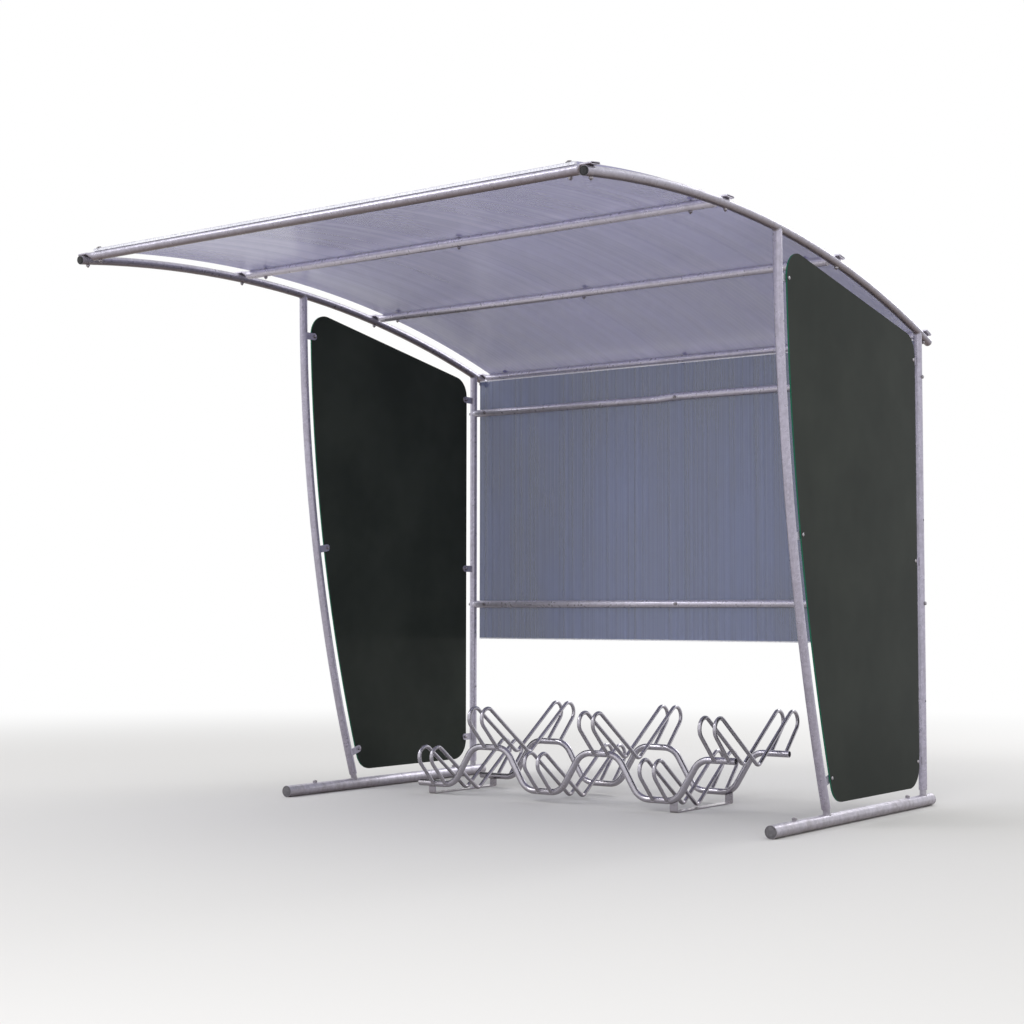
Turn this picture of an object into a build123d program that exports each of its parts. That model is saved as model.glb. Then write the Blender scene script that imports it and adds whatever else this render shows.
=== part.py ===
from build123d import *
import math
import os

# Open bike shelter on two galvanised tube frames, with a free-standing six-place rack inside.
# Millimetres. X runs along the open front, Y from front to back, Z up from the ground.
# Inside the functions Y is measured from the axis of the rear posts. The last step moves
# everything so that the origin lies under the middle of the shelter.

# Tubes
TUBE_DIAMETER = 33.7
TUBE_WALL = 2.6
BASE_DIAMETER = 48.3
BASE_WALL = 2.9
SPIGOT_DIAMETER = 26.9

# Side frames
FRAME_SPACING = 2300.0
BASE_FRONT = 1284.0
BASE_REAR = 72.0
POST_LIFT = 20.0
SPIGOT_INSERT = 60.0
FRONT_POST_REACH = 1204.0
FRONT_POST_RADIUS = 6737.0
FRONT_POST_UPRIGHT_HEIGHT = 2184.0
RAFTER_RADIUS = 5630.0
RAFTER_CREST_HEIGHT = 2167.0
RAFTER_CREST_REACH = 1613.0
RAFTER_FRONT = 2424.0
RAFTER_REAR = 104.0

# Ground anchors through the base tubes
ANCHOR_FRONT = 1109.0
ANCHOR_REAR = 150.0
ANCHOR_SLEEVE_DIAMETER = 17.2
ANCHOR_BORE = 11.0
ANCHOR_SLEEVE_RISE = 2.0

# Plastic end caps
CAP_FLANGE = 2.5
CAP_FACE = 4.0
CAP_BEVEL = 5.0
CAP_PLUG_DEPTH = 14.0
CAP_PLUG_CLEARANCE = 0.4
CAP_FLANGE_INSET = 1.2

# Cross rails over the rafters, placed by the bolts in their flattened ends
RAIL_STATIONS = {
    "front_rail": -2390.0,
    "purlin_front": -1574.0,
    "purlin_rear": -735.0,
    "rear_rail": 60.0,
}
TONGUE_LENGTH = 42.0
TONGUE_SLIT = 3.4
TONGUE_TAPER = 18.0
TONGUE_BOLT_HOLE = 9.0
RAIL_RISE = 10.0

# Back rails, the upper one hung from the rafters, with threaded plugs in their ends
BACK_RAIL_UPPER_DROP = 188.0
BACK_RAIL_LOWER_HEIGHT = 819.0
PLUG_LENGTH = 12.0
PLUG_THREAD_BORE = 6.8
POST_BOLT_HOLE = 9.0
SPARE_HOLE_LOW = 424.0
SPARE_HOLE_HIGH = 1157.0
DENT_CENTRE = -60.0
DENT_LENGTH = 100.0
DENT_DEPTH = 3.0
DENT_RADIUS = 300.0

# Roof sheet and back sheet, with the insets of their bolts from the frames
SHEET_THICKNESS = 10.0
SHEET_BOLT_HOLE = 8.0
PURLIN_BOLT_INSET = 137.0
FRONT_BOLT_INSET = 74.0
BACK_BOLT_INSET = 80.0
ROOF_SHEET_SIDE_GAP = 50.0
ROOF_SHEET_FRONT_OVERHANG = 13.0
ROOF_SHEET_REAR_OVERHANG = 34.0
BACK_SHEET_SIDE_GAP = 25.0
BACK_SHEET_DROP = 166.0
BACK_SHEET_TOP_DROP = 29.0

# Bolts down through the roof sheet and the cross rails, with wide washers
ROOF_BOLT_DIAMETER = 7.4
ROOF_BOLT_FLATS = 13.0
ROOF_BOLT_HEAD = 4.0
ROOF_BOLT_PROJECTION = 11.0
ROOF_WASHER_DIAMETER = 25.0
ROOF_WASHER_THICKNESS = 1.6

# Side panels and the lugs that hold them
PANEL_THICKNESS = 6.0
PANEL_GAP = 35.0
PANEL_CORNER = 90.0
LUG_THICKNESS = 5.0
LUG_WIDTH = 30.0
LUG_REACH = 66.0
LUG_BOLT_HOLE = 9.0

# Lug heights: two above the panel's lower edge, one below its upper corner
FRONT_LUG_LOW = 73.0
FRONT_LUG_MIDDLE = 967.0
FRONT_LUG_TOP = 120.0
REAR_LUG_LOW = 102.0
REAR_LUG_MIDDLE = 906.0
REAR_LUG_TOP = 89.0

# Rack
RACK_CENTRE_Y = -580.0
RACK_RAIL_DIAMETER = 26.9
RACK_RAIL_WALL = 2.3
RACK_RAIL_OFFSET = 217.0
RACK_PLACES = 6
RACK_PITCH = 277.5
RACK_FIRST_PLACE = -704.0
RACK_LOW_HEIGHT = 45.0
RACK_HIGH_HEIGHT = 213.0
RACK_LEVEL_HALF = 87.0
RACK_LEVEL_SHIFT = -17.0
RACK_BEND_RADIUS = 80.0
RACK_LEFT_TAIL = 116.0
RACK_RIGHT_TAIL = 57.0
ROD_DIAMETER = 16.0
ROD_SPACING = 66.0
ROD_WELD_OFFSET = 8.0
ROD_END_RISE = 6.0
LOW_ARCH_TOP = 206.0
LOW_ARCH_REACH = 283.0
LOW_VALLEY = 15.0
HIGH_ARCH_TOP = 380.5
HIGH_ARCH_REACH = 294.0
HIGH_VALLEY = 185.5
ARCH_RADIUS = 42.0
VALLEY_RADIUS = 28.0
FOOT_WIDTH = 35.0
FOOT_THICKNESS = 5.0
FOOT_BEND_RADIUS = 4.0
FOOT_LEFT_OFFSET = -48.0
FOOT_RIGHT_OFFSET = 56.0

# Running clearances
SEAT_GAP = 0.3

TUBE_RADIUS = TUBE_DIAMETER / 2
BASE_RADIUS = BASE_DIAMETER / 2
RACK_RAIL_RADIUS = RACK_RAIL_DIAMETER / 2
RAFTER_CENTRE = (-RAFTER_CREST_REACH, RAFTER_CREST_HEIGHT - RAFTER_RADIUS)
FRONT_POST_CENTRE = (FRONT_POST_RADIUS - FRONT_POST_REACH, FRONT_POST_UPRIGHT_HEIGHT)
POST_FOOT_HEIGHT = BASE_DIAMETER + POST_LIFT
TONGUE_WIDTH = math.pi * (TUBE_DIAMETER - TUBE_WALL) / 2
TONGUE_THICKNESS = 2 * TUBE_WALL + TONGUE_SLIT
ROOF_SHEET_RADIUS = RAFTER_RADIUS + RAIL_RISE + TUBE_RADIUS + SEAT_GAP
PANEL_EDGE_GAP = TUBE_RADIUS + PANEL_GAP
PANEL_BOTTOM = BASE_DIAMETER + PANEL_GAP
PANEL_FRONT = PANEL_EDGE_GAP - FRONT_POST_REACH
PANEL_REAR = -PANEL_EDGE_GAP


def rafter_height(y, radius=RAFTER_RADIUS):
    """Height of an arc concentric with the rafters above a place y."""
    return RAFTER_CENTRE[1] + math.sqrt(radius ** 2 - (y - RAFTER_CENTRE[0]) ** 2)


def rafter_tilt(y):
    """Slope of the rafter at a place y, in degrees, rising towards the back."""
    return -math.degrees(math.asin((y - RAFTER_CENTRE[0]) / RAFTER_RADIUS))


def front_post_y(z, radius=FRONT_POST_RADIUS):
    """Place of an arc concentric with the front post at a height z."""
    return FRONT_POST_CENTRE[0] - math.sqrt(radius ** 2 - (FRONT_POST_CENTRE[1] - z) ** 2)


def front_post_tilt(z):
    """Lean of the front post at a height z, in degrees forward of upright going up."""
    return math.degrees(math.asin((FRONT_POST_CENTRE[1] - z) / FRONT_POST_RADIUS))


def back_rail_heights():
    """Heights of the lower and the upper back rail."""
    return BACK_RAIL_LOWER_HEIGHT, rafter_height(0) - BACK_RAIL_UPPER_DROP


def panel_top(y):
    """Height of a side panel's sloping top edge at one of its two ends."""
    return rafter_height(y) - PANEL_EDGE_GAP


def front_lug_heights():
    """Heights of the three lugs on a front post."""
    top = panel_top(PANEL_FRONT) - FRONT_LUG_TOP
    return PANEL_BOTTOM + FRONT_LUG_LOW, PANEL_BOTTOM + FRONT_LUG_MIDDLE, top


def rear_lug_heights():
    """Heights of the three lugs on a rear post."""
    top = panel_top(PANEL_REAR) - REAR_LUG_TOP
    return PANEL_BOTTOM + REAR_LUG_LOW, PANEL_BOTTOM + REAR_LUG_MIDDLE, top


def tube_along(path, diameter, wall=0.0):
    """Round bar swept along a path, hollow where a wall is given."""
    start = Plane(origin=path @ 0, z_dir=path % 0)
    section = Circle(diameter / 2)
    if wall:
        section -= Circle(diameter / 2 - wall)
    return sweep(start * section, path=path)


def rafter_path(x, y_start, y_end):
    """Arc of the rafter's axis between two places."""
    y_mid = (y_start + y_end) / 2
    return ThreePointArc(
        (x, y_start, rafter_height(y_start)),
        (x, y_mid, rafter_height(y_mid)),
        (x, y_end, rafter_height(y_end)),
    )


def front_post_path(x, z_start, z_end):
    """Arc of the front post's axis between two heights."""
    z_mid = (z_start + z_end) / 2
    return ThreePointArc(
        (x, front_post_y(z_start), z_start),
        (x, front_post_y(z_mid), z_mid),
        (x, front_post_y(z_end), z_end),
    )


# Side frames


def base_tube(x):
    """Ground tube with welded spigots for both posts and two anchor sleeves."""
    axis = Plane(origin=(x, -BASE_FRONT, BASE_RADIUS), z_dir=(0, 1, 0))
    length = BASE_FRONT + BASE_REAR
    tube = axis * Cylinder(BASE_RADIUS, length, align=(Align.CENTER, Align.CENTER, Align.MIN))
    for y, tilt in (
        (front_post_y(POST_FOOT_HEIGHT), front_post_tilt(POST_FOOT_HEIGHT)),
        (0.0, 0.0),
    ):
        foot = Location((x, y, POST_FOOT_HEIGHT), (tilt, 0, 0))
        spigot = Cylinder(SPIGOT_DIAMETER / 2, SPIGOT_INSERT + POST_FOOT_HEIGHT - BASE_RADIUS)
        lift = (SPIGOT_INSERT - POST_FOOT_HEIGHT + BASE_RADIUS) / 2
        tube += foot * Pos(0, 0, lift) * spigot
    tube -= axis * Cylinder(
        BASE_RADIUS - BASE_WALL, length, align=(Align.CENTER, Align.CENTER, Align.MIN)
    )
    for y in (-ANCHOR_FRONT, -ANCHOR_REAR):
        upright = (Align.CENTER, Align.CENTER, Align.MIN)
        top = BASE_DIAMETER + ANCHOR_SLEEVE_RISE
        tube += Pos(x, y, BASE_WALL / 2) * Cylinder(
            ANCHOR_SLEEVE_DIAMETER / 2, top - BASE_WALL / 2, align=upright
        )
        tube -= Pos(x, y, 0) * Cylinder(ANCHOR_BORE / 2, top, align=upright)
    return tube


def end_cap(diameter, wall):
    """Plastic cap: a plug inside the tube, a flange on its end and a bevelled face."""
    flange = diameter / 2 - CAP_FLANGE_INSET
    plug = diameter / 2 - wall - CAP_PLUG_CLEARANCE
    outline = Polyline(
        (0, -CAP_PLUG_DEPTH),
        (plug, -CAP_PLUG_DEPTH),
        (plug, SEAT_GAP),
        (flange, SEAT_GAP),
        (flange, CAP_FLANGE),
        (flange - CAP_BEVEL, CAP_FACE),
        (0, CAP_FACE),
        close=True,
    )
    return revolve(Plane.XZ * make_face(outline), axis=Axis.Z)


def base_cap(x, at_front):
    """End cap of a base tube."""
    y = -BASE_FRONT if at_front else BASE_REAR
    out = -1 if at_front else 1
    return Plane(origin=(x, y, BASE_RADIUS), z_dir=(0, out, 0)) * end_cap(BASE_DIAMETER, BASE_WALL)


def rafter_cap(x, at_front):
    """End cap of a rafter."""
    y = -RAFTER_FRONT if at_front else RAFTER_REAR
    slope = math.radians(rafter_tilt(y))
    out = -1 if at_front else 1
    end = Plane(
        origin=(x, y, rafter_height(y)),
        z_dir=(0, out * math.cos(slope), out * math.sin(slope)),
    )
    return end * end_cap(TUBE_DIAMETER, TUBE_WALL)


def lug(x, y, z, tilt):
    """Flat lug with a round end and a bolt hole, reaching back or forward from a post's axis."""
    root = TUBE_RADIUS - TUBE_WALL / 2
    bar = Pos((root + LUG_REACH) / 2, 0) * Rectangle(LUG_REACH - root, LUG_WIDTH)
    bar += Pos(LUG_REACH, 0) * Circle(LUG_WIDTH / 2)
    bar -= Pos(LUG_REACH, 0) * Circle(LUG_BOLT_HOLE / 2)
    side = Plane(
        origin=(x, y, z),
        x_dir=(0, math.cos(math.radians(tilt)), math.sin(math.radians(tilt))),
        z_dir=(1, 0, 0),
    )
    return extrude(side * bar, amount=LUG_THICKNESS / 2, both=True)


def rafter_clearance(x):
    """Space that the rafter takes, with the gap that a post's shaped top leaves to it."""
    return tube_along(rafter_path(x, -RAFTER_FRONT, RAFTER_REAR), TUBE_DIAMETER + 2 * SEAT_GAP)


def front_post(x):
    """Curved front post, shaped to the rafter's underside, with three lugs."""
    top = rafter_height(-FRONT_POST_REACH)
    post = tube_along(front_post_path(x, POST_FOOT_HEIGHT, top), TUBE_DIAMETER, TUBE_WALL)
    for z in front_lug_heights():
        post += lug(x, front_post_y(z), z, front_post_tilt(z))
    return post - rafter_clearance(x)


def rear_post(x):
    """Straight rear post, shaped to the rafter, with three lugs, bolt holes and spare holes."""
    path = Line((x, 0, POST_FOOT_HEIGHT), (x, 0, rafter_height(0)))
    post = tube_along(path, TUBE_DIAMETER, TUBE_WALL)
    for z in rear_lug_heights():
        post += lug(x, 0, z, 180)
    for z in (*back_rail_heights(), SPARE_HOLE_LOW, SPARE_HOLE_HIGH):
        post -= Pos(x, 0, z) * (Rot(0, 90, 0) * Cylinder(POST_BOLT_HOLE / 2, 2 * TUBE_DIAMETER))
    return post - rafter_clearance(x)


def rafter(x):
    """Curved rafter with the bolt holes for the cross rails."""
    tube = tube_along(rafter_path(x, -RAFTER_FRONT, RAFTER_REAR), TUBE_DIAMETER, TUBE_WALL)
    for y in RAIL_STATIONS.values():
        hole = Cylinder(TONGUE_BOLT_HOLE / 2, 2 * TUBE_DIAMETER)
        tube -= Location((x, y, rafter_height(y)), (rafter_tilt(y), 0, 0)) * hole
    return tube


# Cross rails


def quartered_circle(radius):
    """Circle made of four arcs, so that it blends evenly into a flattened section."""
    corners = [(radius * math.cos(math.radians(a)), radius * math.sin(math.radians(a)))
               for a in (-45, 45, 135, 225)]
    middles = [(radius, 0), (0, radius), (-radius, 0), (0, -radius)]
    arcs = [ThreePointArc(corners[i], middles[i], corners[(i + 1) % 4]) for i in range(4)]
    return make_face(arcs)


def flattened_section(width, height):
    """Flat-sided oval of a pressed tube end, made of two arcs and two lines."""
    a, r = width / 2 - height / 2, height / 2
    return make_face([
        ThreePointArc((a, -r), (a + r, 0), (a, r)),
        Line((a, r), (-a, r)),
        ThreePointArc((-a, r), (-a - r, 0), (-a, -r)),
        Line((-a, -r), (a, -r)),
    ])


def rail_body(radius, width, height, tongue_end):
    """Solid of a cross rail's outside or inside: a round middle and two pressed ends."""
    tongue_rise = TUBE_RADIUS + TONGUE_THICKNESS / 2 - RAIL_RISE
    taper_end = FRAME_SPACING / 2 - TONGUE_LENGTH / 2
    taper_start = taper_end - TONGUE_TAPER
    body = Plane.YZ * Circle(radius)
    body = extrude(body, amount=taper_start, both=True)
    for side in (-1, 1):
        near = Plane(origin=(side * taper_start, 0, 0), x_dir=(0, 1, 0), z_dir=(1, 0, 0))
        far = Plane(origin=(side * taper_end, 0, tongue_rise), x_dir=(0, 1, 0), z_dir=(1, 0, 0))
        body += loft([near * quartered_circle(radius), far * flattened_section(width, height)])
        body += extrude(far * flattened_section(width, height), amount=side * tongue_end)
    return body


def sheet_bolt_places(name):
    """Places along X of the bolts that hold the roof sheet down on a cross rail."""
    if name == "front_rail":
        reach = FRAME_SPACING / 2 - FRONT_BOLT_INSET
        return -reach, reach
    reach = FRAME_SPACING / 2 - PURLIN_BOLT_INSET
    return -reach, 0.0, reach


def cross_rail(name):
    """Tube across both rafters with its ends pressed flat and bolted down on them."""
    y = RAIL_STATIONS[name]
    outside = rail_body(TUBE_RADIUS, TONGUE_WIDTH, TONGUE_THICKNESS, TONGUE_LENGTH)
    inside = rail_body(
        TUBE_RADIUS - TUBE_WALL, TONGUE_WIDTH - 2 * TUBE_WALL, TONGUE_SLIT, TONGUE_LENGTH + 1
    )
    rail = outside - inside
    for side in (-1, 1):
        hole = Cylinder(TONGUE_BOLT_HOLE / 2, 4 * TUBE_DIAMETER)
        rail -= Pos(side * FRAME_SPACING / 2, 0, 0) * hole
    for x in sheet_bolt_places(name):
        rail -= Pos(x, 0, 0) * Cylinder(SHEET_BOLT_HOLE / 2, 2 * TUBE_DIAMETER)
    seat = Location((0, y, rafter_height(y)), (rafter_tilt(y), 0, 0))
    return seat * Pos(0, 0, RAIL_RISE + SEAT_GAP) * rail


# Back of the shelter


def back_bolt_places():
    """Places along X of the bolts through the back sheet and the back rails."""
    reach = FRAME_SPACING / 2 - BACK_BOLT_INSET
    return -reach, 0.0, reach


def back_rail(height, dent_depth):
    """Tube between the rear posts with a threaded plug in each end, dented where asked."""
    half = FRAME_SPACING / 2
    if dent_depth:
        path = FilletPolyline(
            (-half, 0, height),
            (DENT_CENTRE - DENT_LENGTH / 2, 0, height - dent_depth),
            (DENT_CENTRE + DENT_LENGTH / 2, 0, height + dent_depth),
            (half, 0, height),
            radius=DENT_RADIUS,
        )
    else:
        path = Line((-half, 0, height), (half, 0, height))
    rail = tube_along(path, TUBE_DIAMETER, TUBE_WALL)
    plug = Cylinder(TUBE_RADIUS - TUBE_WALL / 2, PLUG_LENGTH)
    plug -= Cylinder(PLUG_THREAD_BORE / 2, PLUG_LENGTH)
    for side in (-1, 1):
        end = side * (half - TUBE_RADIUS - PLUG_LENGTH / 2)
        rail += Pos(end, 0, height) * (Rot(0, 90, 0) * plug)
        rail -= Pos(side * half, 0, height) * Cylinder(TUBE_RADIUS + SEAT_GAP, 4 * TUBE_DIAMETER)
    for x in back_bolt_places():
        hole = Rot(90, 0, 0) * Cylinder(SHEET_BOLT_HOLE / 2, 2 * TUBE_DIAMETER)
        rail -= Pos(x, 0, height) * hole
    return rail


def roof_sheet():
    """Curved sheet that lies on the four cross rails."""
    y_front = RAIL_STATIONS["front_rail"] - ROOF_SHEET_FRONT_OVERHANG
    y_back = RAIL_STATIONS["rear_rail"] + ROOF_SHEET_REAR_OVERHANG
    y_mid = (y_front + y_back) / 2
    edges = []
    ends = []
    for radius in (ROOF_SHEET_RADIUS, ROOF_SHEET_RADIUS + SHEET_THICKNESS):
        points = [(0, y, rafter_height(y, radius)) for y in (y_front, y_mid, y_back)]
        edges.append(ThreePointArc(*points))
        ends.append((points[0], points[2]))
    edges.append(Line(ends[0][0], ends[1][0]))
    edges.append(Line(ends[0][1], ends[1][1]))
    half = FRAME_SPACING / 2 - ROOF_SHEET_SIDE_GAP
    sheet = extrude(make_face(edges), amount=half, both=True)
    for name, y in RAIL_STATIONS.items():
        for x in sheet_bolt_places(name):
            hole = Cylinder(SHEET_BOLT_HOLE / 2, 4 * TUBE_DIAMETER)
            sheet -= Location((x, y, rafter_height(y)), (rafter_tilt(y), 0, 0)) * hole
    return sheet


def roof_bolts(name):
    """Hexagon bolts with washers that hold the roof sheet down on one cross rail."""
    y = RAIL_STATIONS[name]
    above = (Align.CENTER, Align.CENTER, Align.MIN)
    below = (Align.CENTER, Align.CENTER, Align.MAX)
    shank_length = SEAT_GAP + SHEET_THICKNESS + TUBE_DIAMETER + ROOF_BOLT_PROJECTION
    hexagon = RegularPolygon(ROOF_BOLT_FLATS / 2, 6, major_radius=False)
    bolt = Cylinder(ROOF_WASHER_DIAMETER / 2, ROOF_WASHER_THICKNESS, align=above)
    bolt += Pos(0, 0, ROOF_WASHER_THICKNESS) * extrude(hexagon, amount=ROOF_BOLT_HEAD)
    bolt += Cylinder(ROOF_BOLT_DIAMETER / 2, shank_length, align=below)
    lift = ROOF_SHEET_RADIUS + SHEET_THICKNESS + SEAT_GAP - RAFTER_RADIUS
    return Compound([
        Location((x, y, rafter_height(y)), (rafter_tilt(y), 0, 0)) * Pos(0, 0, lift) * bolt
        for x in sheet_bolt_places(name)
    ])


def back_sheet():
    """Flat sheet bolted behind the back rails."""
    width = FRAME_SPACING - 2 * BACK_SHEET_SIDE_GAP
    bottom = BACK_RAIL_LOWER_HEIGHT - BACK_SHEET_DROP
    top = rafter_height(0) - BACK_SHEET_TOP_DROP
    low = (Align.CENTER, Align.MIN, Align.MIN)
    sheet = Box(width, SHEET_THICKNESS, top - bottom, align=low)
    sheet = Pos(0, TUBE_RADIUS + SEAT_GAP, bottom) * sheet
    for z in back_rail_heights():
        for x in back_bolt_places():
            hole = Rot(90, 0, 0) * Cylinder(SHEET_BOLT_HOLE / 2, 4 * TUBE_DIAMETER)
            sheet -= Pos(x, 0, z) * hole
    return sheet


# Side panels


def side_panel(side):
    """Panel between the posts of one frame, on the outer face of the lugs."""
    front_radius = FRONT_POST_RADIUS - PANEL_EDGE_GAP
    z_front = panel_top(PANEL_FRONT)
    z_mid = (PANEL_BOTTOM + z_front) / 2
    low, mid, high = (
        (0, front_post_y(z, front_radius), z) for z in (PANEL_BOTTOM, z_mid, z_front)
    )
    rear_high = (0, PANEL_REAR, panel_top(PANEL_REAR))
    rear_low = (0, PANEL_REAR, PANEL_BOTTOM)
    outline = make_face([
        ThreePointArc(low, mid, high),
        Line(high, rear_high),
        Line(rear_high, rear_low),
        Line(rear_low, low),
    ])
    panel = extrude(outline, amount=PANEL_THICKNESS / 2, both=True)
    corners = panel.edges().filter_by(Axis.X)
    panel = fillet(corners, radius=PANEL_CORNER)
    for z in front_lug_heights():
        lean = math.radians(front_post_tilt(z))
        place = (0, front_post_y(z) + LUG_REACH * math.cos(lean), z + LUG_REACH * math.sin(lean))
        panel -= Pos(*place) * (Rot(0, 90, 0) * Cylinder(LUG_BOLT_HOLE / 2, 2 * PANEL_THICKNESS))
    for z in rear_lug_heights():
        panel -= Pos(0, -LUG_REACH, z) * (
            Rot(0, 90, 0) * Cylinder(LUG_BOLT_HOLE / 2, 2 * PANEL_THICKNESS)
        )
    out = FRAME_SPACING / 2 + (LUG_THICKNESS + PANEL_THICKNESS) / 2 + SEAT_GAP
    return Pos(side * out, 0, 0) * panel


# Bike rack


def place_x(place):
    """Middle of a wheel place, counted from the left."""
    return RACK_FIRST_PLACE + place * RACK_PITCH


def is_low(place):
    """The places stand low and high in turn, from a low one at the left."""
    return place % 2 == 0


def rack_rail_path(offset):
    """Axis of a rack rail: up and down along the rack, level under each wheel place."""
    y = RACK_CENTRE_Y + offset
    points = []
    for place in range(RACK_PLACES):
        z = RACK_LOW_HEIGHT if is_low(place) else RACK_HIGH_HEIGHT
        middle = place_x(place) + RACK_LEVEL_SHIFT
        points += [(middle - RACK_LEVEL_HALF, y, z), (middle + RACK_LEVEL_HALF, y, z)]
    points[0] = (place_x(0) - RACK_LEFT_TAIL, y, RACK_LOW_HEIGHT)
    points[-1] = (place_x(RACK_PLACES - 1) + RACK_RIGHT_TAIL, y, RACK_HIGH_HEIGHT)
    return FilletPolyline(*points, radius=RACK_BEND_RADIUS)


def rack_rail_clearance(offset):
    """Space that a rack rail takes, with the gap that the pieces welded to it leave."""
    return tube_along(rack_rail_path(offset), RACK_RAIL_DIAMETER + 2 * SEAT_GAP)


def holder_path(x, rail_height, arch_reach, arch_top, valley):
    """One wheel rod: up from the front rail, over an arch, through a valley and back down."""
    centre = (arch_reach, arch_top - ARCH_RADIUS)
    # The outer leg touches the arch's circle and passes a little outside the rail's axis.
    dy, dz = centre[0] - RACK_RAIL_OFFSET, centre[1] - rail_height
    lean = math.atan2(dz, dy) - math.asin((ARCH_RADIUS - ROD_WELD_OFFSET) / math.hypot(dy, dz))
    across, along = (math.sin(lean), -math.cos(lean)), (math.cos(lean), math.sin(lean))
    outer = (centre[0] + ARCH_RADIUS * across[0], centre[1] + ARCH_RADIUS * across[1])
    foot = (
        RACK_RAIL_OFFSET + ROD_WELD_OFFSET * across[0] + ROD_END_RISE * along[0],
        rail_height + ROD_WELD_OFFSET * across[1] + ROD_END_RISE * along[1],
    )
    bottom_centre = (0.0, valley + VALLEY_RADIUS)
    # The sloping leg crosses between the arch and the valley, so it is their inner tangent.
    dy, dz = centre[0] - bottom_centre[0], centre[1] - bottom_centre[1]
    span = math.hypot(dy, dz)
    turn = math.atan2(dz, dy) - math.acos((ARCH_RADIUS + VALLEY_RADIUS) / span)
    low = (VALLEY_RADIUS * math.cos(turn), bottom_centre[1] + VALLEY_RADIUS * math.sin(turn))
    high = (centre[0] - ARCH_RADIUS * math.cos(turn), centre[1] - ARCH_RADIUS * math.sin(turn))

    def at(point, side):
        return (x, RACK_CENTRE_Y + side * point[0], point[1])

    top = (centre[0], arch_top)
    edges = [
        Line(at(foot, -1), at(outer, -1)),
        ThreePointArc(at(outer, -1), at(top, -1), at(high, -1)),
        Line(at(high, -1), at(low, -1)),
        ThreePointArc(at(low, -1), at((0.0, valley), 1), at(low, 1)),
        Line(at(low, 1), at(high, 1)),
        ThreePointArc(at(high, 1), at(top, 1), at(outer, 1)),
        Line(at(outer, 1), at(foot, 1)),
    ]
    return Wire([edge for shape in edges for edge in shape.edges()])


def rack_holder(place):
    """Pair of rods that holds one wheel on each side of the rack, shaped to the rails."""
    if is_low(place):
        shape = (RACK_LOW_HEIGHT, LOW_ARCH_REACH, LOW_ARCH_TOP, LOW_VALLEY)
    else:
        shape = (RACK_HIGH_HEIGHT, HIGH_ARCH_REACH, HIGH_ARCH_TOP, HIGH_VALLEY)
    rods = []
    for side in (-1, 1):
        rod = tube_along(holder_path(place_x(place) + side * ROD_SPACING / 2, *shape), ROD_DIAMETER)
        for offset in (-RACK_RAIL_OFFSET, RACK_RAIL_OFFSET):
            rod -= rack_rail_clearance(offset)
        rods.append(rod)
    return Compound(rods)


def rack_foot(x):
    """Flat bar on the ground, both ends bent up and shaped to the rack's rails."""
    reach = RACK_RAIL_OFFSET + FOOT_THICKNESS / 2
    top = RACK_LOW_HEIGHT + RACK_RAIL_RADIUS / 2
    outer = [(-reach, top), (-reach, 0), (reach, 0), (reach, top)]
    inner = [(reach - FOOT_THICKNESS, top), (reach - FOOT_THICKNESS, FOOT_THICKNESS),
             (FOOT_THICKNESS - reach, FOOT_THICKNESS), (FOOT_THICKNESS - reach, top)]
    outline = Plane(origin=(x, RACK_CENTRE_Y, 0), x_dir=(0, 1, 0), z_dir=(1, 0, 0)) * make_face(
        Polyline(*outer, *inner, close=True)
    )
    foot = extrude(outline, amount=FOOT_WIDTH / 2, both=True)
    bends = foot.edges().filter_by(Axis.X).sort_by(Axis.Z)
    foot = fillet(bends[:2], radius=FOOT_BEND_RADIUS + FOOT_THICKNESS)
    for offset in (-RACK_RAIL_OFFSET, RACK_RAIL_OFFSET):
        foot -= rack_rail_clearance(offset)
    return foot


# Assembly


def build_nodes():
    """All pieces of the shelter by name."""
    nodes = {}
    for name, side in (("left", -1), ("right", 1)):
        x = side * FRAME_SPACING / 2
        nodes[f"base_tube_{name}"] = base_tube(x)
        nodes[f"front_post_{name}"] = front_post(x)
        nodes[f"rear_post_{name}"] = rear_post(x)
        nodes[f"rafter_{name}"] = rafter(x)
        nodes[f"side_panel_{name}"] = side_panel(side)
        for end, at_front in (("front", True), ("rear", False)):
            nodes[f"base_cap_{name}_{end}"] = base_cap(x, at_front)
            nodes[f"rafter_cap_{name}_{end}"] = rafter_cap(x, at_front)
    for name in RAIL_STATIONS:
        nodes[name] = cross_rail(name)
        nodes[f"roof_bolts_{name}"] = roof_bolts(name)
    lower, upper = back_rail_heights()
    nodes["back_rail_upper"] = back_rail(upper, DENT_DEPTH)
    nodes["back_rail_lower"] = back_rail(lower, 0.0)
    nodes["roof_sheet"] = roof_sheet()
    nodes["back_sheet"] = back_sheet()
    for name, offset in (("front", -RACK_RAIL_OFFSET), ("rear", RACK_RAIL_OFFSET)):
        axis = rack_rail_path(offset)
        nodes[f"rack_rail_{name}"] = tube_along(axis, RACK_RAIL_DIAMETER, RACK_RAIL_WALL)
    for place in range(RACK_PLACES):
        nodes[f"rack_holder_{place + 1}"] = rack_holder(place)
    nodes["rack_foot_left"] = rack_foot(place_x(0) + FOOT_LEFT_OFFSET)
    nodes["rack_foot_right"] = rack_foot(place_x(4) + FOOT_RIGHT_OFFSET)
    return nodes


def main():
    """Build every piece, centre the whole on the origin and write the files."""
    nodes = build_nodes()
    boxes = [shape.bounding_box() for shape in nodes.values()]
    y_low = min(box.min.Y for box in boxes)
    y_high = max(box.max.Y for box in boxes)
    os.makedirs("parts", exist_ok=True)
    for name, shape in nodes.items():
        export_step(Pos(0, -(y_low + y_high) / 2, 0) * shape, f"parts/{name}.step")


main()
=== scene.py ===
import logging
import math
from dataclasses import dataclass, field
from enum import Enum
from typing import Callable, ClassVar, Iterable, Sequence

import bmesh
import bpy
from mathutils import Matrix, Vector


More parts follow.
